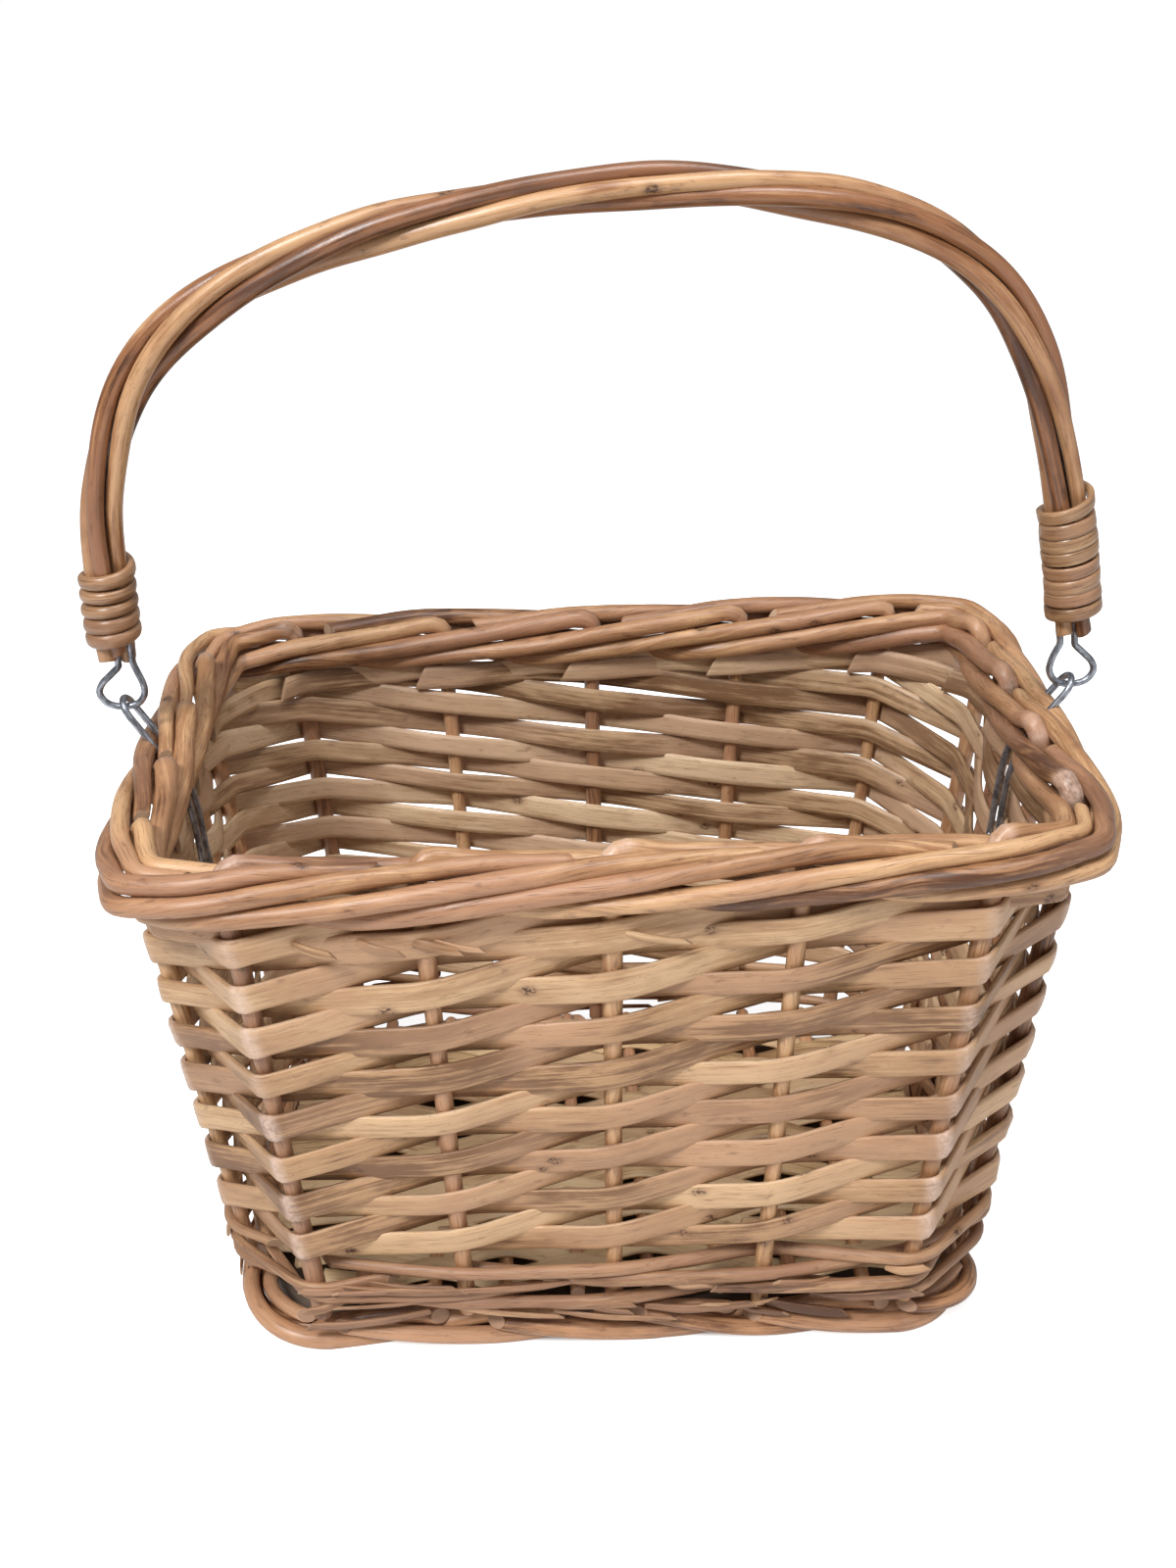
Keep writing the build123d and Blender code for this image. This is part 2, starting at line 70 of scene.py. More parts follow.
class Seed(IntEnum):
    """Where the numbers of each kind of strand start, which seed its own unevenness."""

    STAKE = 100
    WEAVER = 200
    WALE = 300
    FOOT = 400
    STICK = 500
    STRIP = 520
    ROD = 600
    WIRE = 640
    CANE = 650
    STAPLE = 700
    SLIVER = 900
    PACKING = 980


class Draw(IntEnum):
    """The seeded draws of the sizes and places of single strands."""

    STAKE_LEAN = 11
    STAKE_SIZE = 13
    WEAVER = 23
    SLIVER_SIZE = 37
    SLIVER_PLACE = 41
    FOOT = 43


class Channel(IntEnum):
    """The independent waves of one strand. A handle rod's path takes the first two from waves of its own."""

    WIDTH = 1
    THICKNESS = 2
    ROLL = 3
    CANE_PLACE = 4
    ROW_HEIGHT = 5
    WEAVER_HEIGHT = 7


class Body(Enum):
    """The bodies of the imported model."""

    BASKET = "basket"
    HANDLE = "handle"


class Slot(Enum):
    """The names of the material slots."""

    BORDER = "border_willow"
    SPLIT = "split_willow"
    WALE = "wale_willow"
    FOOT = "foot_willow"
    HANDLE = "handle_willow"
    CANE = "binding_cane"
    STEEL = "steel_wire"


class Section(Enum):
    """The cross-sections of the strands, as shares of their width and thickness."""

    ROUND = "round"
    SPLIT = "split"
    CANE = "cane"

    def corners(self) -> np.ndarray:
        """Return the corners of the section.

        Returns:
            One row for each corner.
        """
        if self is Section.ROUND:
            angles = np.arange(ROUND_SIDES) * math.tau / ROUND_SIDES
            return np.stack([np.cos(angles), np.sin(angles)], axis=1) / 2
        if self is Section.SPLIT:
            half = [(0.5, -0.05), (0.485, 0.26), (0.40, 0.42), (0.22, 0.49), (0.0, 0.5)]
            inner = [(0.0, -0.46), (0.26, -0.5), (0.47, -0.42)]
        else:
            half = [(0.5, -0.2), (0.46, 0.12), (0.34, 0.36), (0.17, 0.47), (0.0, 0.5)]
            inner = [(0.0, -0.5), (0.25, -0.5), (0.44, -0.45)]
        outer_left = [(-x, y) for x, y in half[-2::-1]]
        inner_left = [(-x, y) for x, y in inner[:0:-1]]
        return np.array(half + outer_left + inner_left + inner)


def unit(vector: np.ndarray) -> np.ndarray:
    """Return the vector, or each row of vectors, at length one."""
    return vector / np.linalg.norm(vector, axis=-1, keepdims=True)


def smoothstep(share: np.ndarray | float) -> np.ndarray | float:
    """Return a soft step from 0 to 1."""
    share = np.clip(share, 0.0, 1.0)
    return share * share * (3 - 2 * share)


def travelled(line: np.ndarray) -> np.ndarray:
    """Return the distance of each point along a line."""
    return np.concatenate([[0.0], np.cumsum(np.linalg.norm(np.diff(line, axis=0), axis=1))])


def drawn(draw: Draw, number: int) -> np.random.Generator:
    """Return the seeded random numbers of one strand."""
    return np.random.default_rng([draw, number])


def rows_at(where: np.ndarray | float, along: np.ndarray, rows: np.ndarray) -> np.ndarray:
    """Return the values of a line's points between the points.

    Args:
        where: the distances along the line, or one distance.
        along: the distances of the line's own points.
        rows: one number or one row of three numbers for each of its points.

    Returns:
        A number or a row for each distance.
    """
    if rows.ndim == 1:
        return np.interp(where, along, rows)
    return np.stack([np.interp(where, along, rows[:, axis]) for axis in range(3)], axis=-1)


def spaced(line: np.ndarray, spacing: float) -> np.ndarray:
    """Return a line's points at an even spacing.

    Args:
        line: the points of the line, one row each.
        spacing: the wanted distance between points.

    Returns:
        The new points, from the same first to the same last point.
    """
    along = travelled(line)
    steps = max(int(round(along[-1] / spacing)), 2)
    wanted = np.linspace(0, along[-1], steps + 1)
    return rows_at(wanted, along, line)


def curved_line(points: list[np.ndarray], spacing: float) -> np.ndarray:
    """Return a smooth line through all the points given.

    Args:
        points: the points that it passes through.
        spacing: the distance between the line's own points.

    Returns:
        A centripetal Catmull-Rom curve at an even spacing.
    """
    knots = np.array(points, dtype=float)
    apart = np.linalg.norm(np.diff(knots, axis=0), axis=1) > 1e-6
    knots = knots[np.concatenate([[True], apart])]
    knots = np.vstack([2 * knots[0] - knots[1], knots, 2 * knots[-1] - knots[-2]])
    pieces = []
    for first in range(len(knots) - 3):
        p = knots[first:first + 4]
        t = np.concatenate([[0.0], np.cumsum(np.sqrt(np.linalg.norm(np.diff(p, axis=0), axis=1)))])
        u = np.linspace(t[1], t[2], SPAN_POINTS, endpoint=False)[:, None]
        a = [(t[i + 1] - u) / (t[i + 1] - t[i]) * p[i] + (u - t[i]) / (t[i + 1] - t[i]) * p[i + 1]
             for i in range(3)]
        b = [(t[i + 2] - u) / (t[i + 2] - t[i]) * a[i] + (u - t[i]) / (t[i + 2] - t[i]) * a[i + 1]
             for i in range(2)]
        pieces.append((t[2] - u) / (t[2] - t[1]) * b[0] + (u - t[1]) / (t[2] - t[1]) * b[1])
    pieces.append(knots[-2][None, :])
    return spaced(np.vstack(pieces), spacing)


def bent_line(points: list[np.ndarray], reaches: list[float], spacing: float) -> np.ndarray:
    """Return straight runs with a soft bend at each corner.

    Args:
        points: the corners of the runs.
        reaches: how far each bend reaches along its two runs.
        spacing: the distance between the line's own points.

    Returns:
        The points of the line at an even spacing.
    """
    corners = np.array(points, dtype=float)
    line = [corners[0]]
    for index in range(1, len(corners) - 1):
        corner = corners[index]
        before, after = corners[index - 1] - corner, corners[index + 1] - corner
        reach = min(reaches[index], *(LARGEST_BEND * np.linalg.norm(run) for run in (before, after)))
        start, end = corner + unit(before) * reach, corner + unit(after) * reach
        for share in np.linspace(0, 1, BEND_POINTS):
            line.append((1 - share) ** 2 * start + 2 * share * (1 - share) * corner + share ** 2 * end)
    line.append(corners[-1])
    return spaced(np.array(line), spacing)


@dataclass
class Waves:
    """The slow, seeded unevenness of a grown and hand-worked strand."""

    seed: int
    lengths: tuple[float, ...] = (210.0, 97.0, 43.0)
    least_stretch: float = 0.8
    most_stretch: float = 1.25
    evening: float = 1.5

    def at(self, along: np.ndarray, channel: Channel) -> np.ndarray:
        """Return values between about -1 and 1 at distances along the strand.

        Args:
            along: the distances.
            channel: which of the strand's independent waves is wanted.

        Returns:
            One value for each distance.
        """
        chance = np.random.default_rng([self.seed, channel])
        total = np.zeros_like(along)
        for rank, length in enumerate(self.lengths):
            phase = chance.uniform(0, math.tau)
            stretch = chance.uniform(self.least_stretch, self.most_stretch)
            total += np.sin(along * math.tau / (length * stretch) + phase) / (rank + 1)
        return total / self.evening


@dataclass
class Strand:
    """One strand of willow, cane or wire before it joins a piece's mesh.

    tone sets the strand's own shade from 0 to 1, taper its thickness at even steps from end to end, slants
    how far each cut end leans, and creases the distance and the strength of each fold along it, which also
    sets the fold's painted highlight.
    """

    line: np.ndarray
    width: float
    thickness: float
    seed: int
    section: Section = Section.ROUND
    side: np.ndarray = field(default_factory=lambda: UP)
    carried: bool = True
    taper: tuple[float, ...] = (1.0, 1.0)
    uneven: float = 0.04
    roll: float = 0.0
    slants: tuple[float, float] = (0.15, 0.15)
    slant_turn: float = 90.0
    tone: float | None = None
    creases: tuple[tuple[float, float], ...] = ()

    def frames(self) -> tuple[np.ndarray, np.ndarray]:
        """Return the directions of the section at every point of the line.

        Returns:
            The width and the thickness directions, one row for each point.
        """
        forward = unit(np.gradient(self.line, axis=0))
        sides = np.empty_like(forward)
        side = np.broadcast_to(self.side, forward.shape)
        sides[0] = unit(side[0] - forward[0] * side[0].dot(forward[0]))
        for index in range(1, len(forward)):
            wanted = sides[index - 1] if self.carried else side[index]
            sides[index] = unit(wanted - forward[index] * wanted.dot(forward[index]))
        return sides, np.cross(forward, sides)


@dataclass
class Mark:
    """What the finishes read from every point of a mesh."""

    grain: list[np.ndarray] = field(default_factory=list)
    tone: list[np.ndarray] = field(default_factory=list)
    cut: list[np.ndarray] = field(default_factory=list)
    crease: list[np.ndarray] = field(default_factory=list)
    inner: list[np.ndarray] = field(default_factory=list)


class Piece:
    """A mesh in the making, filled strand by strand."""

    SEED = 99
    CREASE_REACH = 3.2
    CREASE_SWELL = 0.08
    LARGEST_BEVEL = 0.35
    BEVEL_SHARE = 0.12
    END_INSET = 0.1
    GRAIN_OFFSET = 4000
    GRAIN_SPREAD = 97

    def __init__(self, name: str) -> None:
        """Start an empty piece.

        Args:
            name: the name of the object to be made.
        """
        self.name = name
        self.points: list[np.ndarray] = []
        self.faces: list[tuple[int, ...]] = []
        self.marks = Mark()
        self.count = 0

    def _keep(self, ring: np.ndarray, grain: np.ndarray, inner: np.ndarray, tone: float, cut: float,
              crease: float) -> int:
        """Store one loop of points with its marks.

        Args:
            ring: the points.
            grain: their fibre coordinates.
            inner: 1 for each point on the strand's inner side.
            tone: the strand's own shade.
            cut: 1 on a cut end.
            crease: how sharply the strand is folded there.

        Returns:
            The number of the loop's first point.
        """
        first = self.count
        self.points.append(ring)
        self.marks.grain.append(grain)
        self.marks.inner.append(inner)
        for kind, value in ((self.marks.tone, tone), (self.marks.cut, cut), (self.marks.crease, crease)):
            kind.append(np.full(len(ring), value))
        self.count += len(ring)
        return first

    def _stitch(self, near: int, far: int, size: int) -> None:
        """Join two loops with quads.

        Args:
            near: the number of the first loop's first point.
            far: the number of the second loop's first point.
            size: how many points each of them has.
        """
        for index in range(size):
            following = (index + 1) % size
            self.faces.append((near + index, near + following, far + following, far + index))

    def add(self, strand: Strand) -> None:
        """Sweep one strand and add it to the mesh.

        Args:
            strand: the strand to be added.
        """
        chance = np.random.default_rng([strand.seed, self.SEED])
        tone = chance.uniform(0, 1) if strand.tone is None else strand.tone
        along = travelled(strand.line)
        length = along[-1]
        sides, out = strand.frames()
        waves = Waves(strand.seed)
        folds = np.zeros_like(along)
        for distance, strength in strand.creases:
            folds = np.maximum(folds, strength * np.exp(-((along - distance) / self.CREASE_REACH) ** 2))
        taper = np.interp(along, np.linspace(0, length, len(strand.taper)), strand.taper)
        swell = taper * (1 + self.CREASE_SWELL * folds)
        widths = strand.width * swell * (1 + strand.uneven * waves.at(along, Channel.WIDTH))
        depths = strand.thickness * swell * (1 + strand.uneven * waves.at(along, Channel.THICKNESS))
        rolls = np.radians(strand.roll * waves.at(along, Channel.ROLL))
        corners = strand.section.corners()
        turn = math.radians(strand.slant_turn)
        lean = corners @ np.array([math.cos(turn), math.sin(turn)]) + 0.5
        inner = (corners[:, 1] < 0).astype(float)
        offset = chance.uniform(-self.GRAIN_OFFSET, self.GRAIN_OFFSET)
        size = len(corners)

        def place(where: np.ndarray, inset: float = 0.0) -> np.ndarray:
            """Return the section's corners.

            Args:
                where: the distance of each corner along the strand.
                inset: the share by which the section is smaller there.

            Returns:
                One point for each corner.
            """
            angle = rows_at(where, along, rolls)
            across, proud = unit(rows_at(where, along, sides)), unit(rows_at(where, along, out))
            x = (corners[:, 0] * rows_at(where, along, widths)) * (1 - inset)
            y = (corners[:, 1] * rows_at(where, along, depths)) * (1 - inset)
            turned_x = x * np.cos(angle) - y * np.sin(angle)
            turned_y = x * np.sin(angle) + y * np.cos(angle)
            return rows_at(where, along, strand.line) + across * turned_x[:, None] + proud * turned_y[:, None]

        def grain(where: np.ndarray) -> np.ndarray:
            """Return the fibre coordinates of the section's corners."""
            flat = corners * [strand.width, strand.thickness] + offset % self.GRAIN_SPREAD
            return np.column_stack([where + offset, flat])

        starts, ends = lean * strand.slants[0], length - lean * strand.slants[1]
        bevel = min(self.LARGEST_BEVEL, self.BEVEL_SHARE * strand.thickness)
        stops = [(starts, self.END_INSET), (starts + bevel, 0.0)]
        for distance in along[1:-1]:
            if distance > starts.min() + 2 * bevel and distance < ends.max() - 2 * bevel:
                stops.append((np.clip(distance, starts + bevel, ends - bevel), 0.0))
        stops += [(ends - bevel, 0.0), (ends, self.END_INSET)]
        loops = []
        for where, inset in stops:
            crease = float(np.interp(where.mean(), along, folds))
            loops.append(self._keep(place(where, inset), grain(where), inner, tone, 0.0, crease))
        for near, far in zip(loops, loops[1:]):
            self._stitch(near, far, size)
        for where, backward in ((starts, True), (ends, False)):
            cap = self._keep(place(where, self.END_INSET), grain(where), inner, tone, 1.0, 0.0)
            order = range(cap, cap + size)
            self.faces.append(tuple(reversed(order)) if backward else tuple(order))

    def make(self, material: bpy.types.Material, body: Body, slot: Slot, *nodes: str) -> None:
        """Turn the strands into one object that stands for CAD nodes.

        Args:
            material: the finish.
            body: the body that it rides on.
            slot: not used.
            *nodes: the CAD nodes that it replaces.
        """
        mesh = bpy.data.meshes.new(self.name)
        mesh.from_pydata(np.vstack(self.points) * MILLIMETRE, [], self.faces)
        grain = mesh.attributes.new("grain", "FLOAT_VECTOR", "POINT")
        grain.data.foreach_set("vector", np.vstack(self.marks.grain).ravel())
        kinds = (self.marks.tone, self.marks.cut, self.marks.crease, self.marks.inner)
        marks = np.stack([np.concatenate(kind) for kind in kinds], axis=1)
        mark = mesh.attributes.new("marks", "FLOAT_COLOR", "POINT")
        mark.data.foreach_set("color", marks.ravel())
        mesh.polygons.foreach_set("use_smooth", [True] * len(mesh.polygons))
        mesh.materials.append(material)
        mesh.validate()
        made = bpy.data.objects.new(self.name, mesh)
        bpy.context.scene.collection.objects.link(made)
        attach(made, body.value)
        if nodes:
            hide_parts(*nodes)
        LOG.info("%s: %d points, rides on %s, for %d nodes", self.name, self.count, body.value, len(nodes))


def make_strand(name: str, strand: Strand, material: bpy.types.Material, body: Body, slot: Slot,
                node: str) -> None:
    """Make a piece of one strand.

    Args:
        name: the name of the object to be made.
        strand: the strand.
        material: its finish.
        body: the body that it rides on.
        slot: not used; it is only passed on to Piece.make.
        node: the CAD node that it replaces.
    """
    piece = Piece(name)
    piece.add(strand)
    piece.make(material, body, slot, node)


class NodeSheet:
    """A node tree with short calls to add and join nodes."""

    def __init__(self, tree: bpy.types.NodeTree) -> None:
        """Wrap a tree.

        Args:
            tree: the node tree to be filled.
        """
        self.tree = tree

    def add(self, kind: str, **settings: object) -> bpy.types.Node:
        """Add a node and set its properties.

        Args:
            kind: the node's type name.
            **settings: its properties by name.

        Returns:
            The new node.
        """
        node = self.tree.nodes.new(kind)
        for name, value in settings.items():
            setattr(node, name, value)
        return node

    def feed(self, socket: bpy.types.NodeSocket, value: object) -> None:
        """Give a socket a value, or link another socket to it.

        Args:
            socket: the input to be fed.
            value: a number, a colour or an output socket.
        """
        if isinstance(value, bpy.types.NodeSocket):
            self.tree.links.new(value, socket)
        else:
            socket.default_value = value

    def math(self, operation: str, first: object, second: object = 0.0,
             clamp: bool = False) -> bpy.types.NodeSocket:
        """Add a Math node and return its output.

        Args:
            operation: the node's operation.
            first: its first input.
            second: its second input.
            clamp: whether its result is kept between 0 and 1.

        Returns:
            The result's socket.
        """
        node = self.add("ShaderNodeMath", operation=operation, use_clamp=clamp)
        self.feed(node.inputs[0], first)
        self.feed(node.inputs[1], second)
        return node.outputs[0]

    def times(self, first: object, second: object) -> bpy.types.NodeSocket:
        """Return the product of two values."""
        return self.math("MULTIPLY", first, second)

    def plus(self, first: object, second: object, clamp: bool = False) -> bpy.types.NodeSocket:
        """Return the sum of two values."""
        return self.math("ADD", first, second, clamp)

    def about_half(self, value: object, weight: float) -> bpy.types.NodeSocket:
        """Return a weighted value that is 0 where the given one is a half."""
        return self.times(self.math("SUBTRACT", value, 0.5), weight)

    def range(self, value: object, low: float, high: float, to_low: float = 0.0,
              to_high: float = 1.0) -> bpy.types.NodeSocket:
        """Map a value from one range to another, clamped and softened.

        Args:
            value: the value to be mapped.
            low: the value that becomes to_low.
            high: the value that becomes to_high.
            to_low: the result's one end.
            to_high: the result's other end.

        Returns:
            The result's socket.
        """
        node = self.add("ShaderNodeMapRange", interpolation_type="SMOOTHSTEP")
        for socket, given in zip(node.inputs, (value, low, high, to_low, to_high)):
            self.feed(socket, given)
        return node.outputs[0]

    def mix(self, share: object, first: object, second: object, blend: str = "MIX") -> bpy.types.NodeSocket:
        """Mix two colours.

        Args:
            share: how much of the second colour is taken.
            first: the first colour.
            second: the second colour.
            blend: the way in which they are mixed.

        Returns:
            The mixed colour's socket.
        """
        node = self.add("ShaderNodeMix", data_type="RGBA", blend_type=blend)
        for number, given in ((0, share), (6, first), (7, second)):
            self.feed(node.inputs[number], given)
        return node.outputs[2]

    def noise(self, where: object, scale: float, detail: float = 3.0,
              rough: float = 0.55) -> bpy.types.NodeSocket:
        """Add a noise texture and return its value.

        Args:
            where: the coordinates.
            scale: the texture's scale.
            detail: its octaves.
            rough: how much the fine octaves count.

        Returns:
            The value's socket.
        """
        node = self.add("ShaderNodeTexNoise")
        for name, given in (("Vector", where), ("Scale", scale), ("Detail", detail), ("Roughness", rough)):
            self.feed(node.inputs[name], given)
        return node.outputs[0]

    def scaled(self, where: object, along: float, across: float) -> bpy.types.NodeSocket:
        """Multiply fibre coordinates.

        Args:
            where: the coordinates.
            along: the factor along the strand.
            across: the factor across it.

        Returns:
            The new coordinates' socket.
        """
        node = self.add("ShaderNodeVectorMath", operation="MULTIPLY")
        self.feed(node.inputs[0], where)
        node.inputs[1].default_value = (along, across, across)
        return node.outputs[0]

    def parts(self, colour: object) -> bpy.types.bpy_prop_collection:
        """Split a colour.

        Args:
            colour: the colour to be split.

        Returns:
            The sockets of its red, green and blue.
        """
        node = self.add("ShaderNodeSeparateColor")
        self.feed(node.inputs[0], colour)
        return node.outputs

    def bump(self, shader: bpy.types.Node, height: object, strength: float, distance: float) -> None:
        """Give a shader its relief.

        Args:
            shader: the shader node.
            height: the relief's height.
            strength: how strongly it shows.
            distance: its depth in metres.
        """
        node = self.add("ShaderNodeBump")
        for name, given in (("Height", height), ("Strength", strength), ("Distance", distance)):
            self.feed(node.inputs[name], given)
        self.feed(shader.inputs["Normal"], node.outputs[0])


def new_finish(name: str) -> tuple[bpy.types.Material, NodeSheet, bpy.types.Node]:
    """Start a material.

    Args:
        name: its name.

    Returns:
        The material, its node sheet and its shader.
    """
    made = bpy.data.materials.new(name)
    made.use_nodes = True
    return made, NodeSheet(made.node_tree), made.node_tree.nodes["Principled BSDF"]


class WillowGrain:
    """The shader group for everything that grew: fibres, blotches, knots, creases and pale cut ends, plus a
    painted highlight on the folds and the inner side's colour, which is partly a painted lightening.
    """

    NAME = "willow_grain"
    COLOURS = ("Pale", "Middle", "Dark", "Blush", "Crease", "Knot", "Cut", "Inner")
    VALUES = ("Fibre", "Knots", "Roughness")

    def __init__(self) -> None:
        """Build the group once."""
        self.tree = bpy.data.node_groups.new(self.NAME, "ShaderNodeTree")
        sockets = [(name, "INPUT", "NodeSocketColor") for name in self.COLOURS]
        sockets += [(name, "INPUT", "NodeSocketFloat") for name in self.VALUES]
        sockets += [("Color", "OUTPUT", "NodeSocketColor"), ("Roughness", "OUTPUT", "NodeSocketFloat"),
                    ("Height", "OUTPUT", "NodeSocketFloat")]
        for name, way, kind in sockets:
            self.tree.interface.new_socket(name, in_out=way, socket_type=kind)
        self._fill(NodeSheet(self.tree))

    def _fill(self, sheet: NodeSheet) -> None:
        """Add the group's nodes.

        Args:
            sheet: the group's tree.
        """
        given = sheet.add("NodeGroupInput").outputs
        grain = sheet.add("ShaderNodeAttribute", attribute_name="grain").outputs["Vector"]
        attribute = sheet.add("ShaderNodeAttribute", attribute_name="marks").outputs
        tone, cut, crease = sheet.parts(attribute["Color"])
        streaks = sheet.noise(sheet.scaled(grain, 0.03, 1.0), 0.8, 5.0, 0.66)
        fine = sheet.noise(sheet.scaled(grain, 0.035, 1.0), 2.6, 3.0, 0.6)
        patches = sheet.noise(sheet.scaled(grain, 0.05, 0.2), 0.8, 4.0, 0.6)
        blotches = sheet.noise(sheet.scaled(grain, 0.22, 0.6), 0.55, 4.0, 0.6)
        slow = sheet.noise(sheet.scaled(grain, 0.009, 0.01), 1.0, 2.0)
        level = sheet.plus(sheet.about_half(streaks, 1.25), sheet.about_half(patches, 1.2))
        level = sheet.plus(sheet.plus(level, sheet.about_half(tone, 0.75)), 0.5, clamp=True)
        colour = sheet.mix(sheet.range(level, 0.42, 0.88), given["Middle"], given["Pale"])
        colour = sheet.mix(sheet.range(level, 0.42, 0.05), colour, given["Dark"])
        colour = sheet.mix(sheet.range(slow, 0.44, 0.62, 0.0, 0.75), colour, given["Blush"])
        thin = sheet.times(sheet.range(fine, 0.54, 0.70), given["Fibre"])
        colour = sheet.mix(sheet.times(thin, 0.75), colour, given["Dark"])
        colour = sheet.mix(sheet.range(blotches, 0.58, 0.76, 0.0, 0.6), colour, given["Dark"])
        specks = sheet.noise(sheet.scaled(grain, 0.55, 1.3), 1.6, 2.0, 0.5)
        speckled = sheet.times(sheet.range(specks, 0.70, 0.76), sheet.range(patches, 0.45, 0.62))
        colour = sheet.mix(speckled, colour, given["Knot"])
        cells = sheet.add("ShaderNodeTexVoronoi", feature="F1", distance="EUCLIDEAN")
        sheet.feed(cells.inputs["Vector"], sheet.scaled(grain, 0.05, 0.075))
        sheet.feed(cells.inputs["Scale"], 1.0)
        rare = sheet.times(sheet.range(sheet.parts(cells.outputs["Color"])[0], 0.55, 0.6), given["Knots"])
        halo = sheet.times(sheet.range(cells.outputs["Distance"], 0.26, 0.04), rare)
        pits = sheet.noise(sheet.scaled(grain, 1.0, 1.5), 0.85, 2.0)
        core = sheet.times(sheet.range(pits, 0.47, 0.55), sheet.range(halo, 0.35, 0.75))
        colour = sheet.mix(sheet.times(halo, 0.55), colour, given["Dark"])
        colour = sheet.mix(core, colour, given["Knot"])
        # The inner side takes the Inner colour: on the split willow this greys the pith side, as it really
        # is, and also lightens it, a painted lightening that makes up for the shade inside the basket.
        colour = sheet.mix(attribute["Alpha"], colour, sheet.mix(1.0, colour, given["Inner"], "MULTIPLY"))
        # Painted highlight: where a strand is folded, its colour turns towards the pale Crease colour, broken
        # up by torn fibres, and the surface grows a little smoother.
        torn = sheet.noise(sheet.scaled(grain, 0.5, 0.5), 1.3, 3.0, 0.7)
        shine = sheet.times(sheet.range(crease, 0.15, 0.95, 0.0, 0.75),
                            sheet.range(torn, 0.30, 0.62, 0.35, 1.0))
        colour = sheet.mix(shine, colour, given["Crease"])
        colour = sheet.mix(sheet.range(cut, 0.4, 0.6), colour, given["Cut"])
        rough = sheet.plus(given["Roughness"], sheet.about_half(streaks, 0.4))
        rough = sheet.plus(rough, sheet.times(cut, 0.25))
        rough = sheet.math("SUBTRACT", rough, sheet.times(shine, 0.15), clamp=True)
        height = sheet.plus(sheet.times(streaks, 0.7), sheet.times(fine, 0.5))
        height = sheet.math("SUBTRACT", height, sheet.times(core, 0.8))
        wrinkle = sheet.noise(sheet.scaled(grain, 0.9, 0.25), 1.4, 2.0)
        height = sheet.plus(height, sheet.times(sheet.times(wrinkle, crease), 0.9))
        out = sheet.add("NodeGroupOutput").inputs
        for name, value in (("Color", colour), ("Roughness", rough), ("Height", height)):
            sheet.feed(out[name], value)


@dataclass(frozen=True)
class WillowFinish:
    """The colours and the surface of one kind of willow or cane, by the names in WillowGrain."""

    name: str
    pale: Colour
    middle: Colour
    dark: Colour
    blush: Colour = (0.56, 0.32, 0.20)
    # crease is the colour of the painted highlight on a strand's folds.
    crease: Colour = (0.78, 0.58, 0.48)
    cut: Colour = (0.56, 0.38, 0.25)
    knot: Colour = (0.085, 0.034, 0.014)
    # inner multiplies the colour of a strand's inner side; where it is above one, it is partly a painted
    # lightening.
    inner: Colour = (1.0, 1.0, 1.0)
    fibre: float = 0.6
    knots: float = 0.8
    roughness: float = 0.5
    relief: float = 0.28
    relief_depth: float = 0.0006
    polish: float = 0.1
    polish_roughness: float = 0.35

    def material(self, grain: WillowGrain) -> bpy.types.Material:
        """Return the finish as a material.

        Args:
            grain: the shader group of everything that grew.

        Returns:
            The new material.
        """
        made, sheet, shader = new_finish(self.name)
        group = sheet.add("ShaderNodeGroup")
        group.node_tree = grain.tree
        for name in grain.COLOURS:
            sheet.feed(group.inputs[name], (*getattr(self, name.lower()), 1.0))
        for name in grain.VALUES:
            sheet.feed(group.inputs[name], getattr(self, name.lower()))
        sheet.bump(shader, group.outputs["Height"], self.relief, self.relief_depth)
        sheet.feed(shader.inputs["Base Color"], group.outputs["Color"])
        sheet.feed(shader.inputs["Roughness"], group.outputs["Roughness"])
        sheet.feed(shader.inputs["Coat Weight"], self.polish)
        sheet.feed(shader.inputs["Coat Roughness"], self.polish_roughness)
        return made


@dataclass(frozen=True)
class SteelFinish:
    """Drawn steel wire gone dull, with darker oxide along it."""

    name: str
    bright: Colour = (0.42, 0.45, 0.51)
    dull: Colour = (0.17, 0.18, 0.205)
    least_roughness: float = 0.22
    metallic: float = 0.85
    relief: float = 0.15
    relief_depth: float = 0.0003

    def material(self) -> bpy.types.Material:
        """Return the finish as a material.

        Returns:
            The new material.
        """
        made, sheet, shader = new_finish(self.name)
        grain = sheet.add("ShaderNodeAttribute", attribute_name="grain").outputs["Vector"]
        cloud = sheet.noise(sheet.scaled(grain, 0.22, 0.5), 1.0, 4.0, 0.65)
        lines = sheet.noise(sheet.scaled(grain, 0.15, 3.0), 2.0, 3.0)
        colour = sheet.mix(sheet.range(cloud, 0.40, 0.62), (*self.bright, 1.0), (*self.dull, 1.0))
        sheet.feed(shader.inputs["Base Color"], colour)
        sheet.feed(shader.inputs["Roughness"], sheet.plus(sheet.times(cloud, 0.3), self.least_roughness))
        sheet.feed(shader.inputs["Metallic"], self.metallic)
        sheet.bump(shader, lines, self.relief, self.relief_depth)
        return made


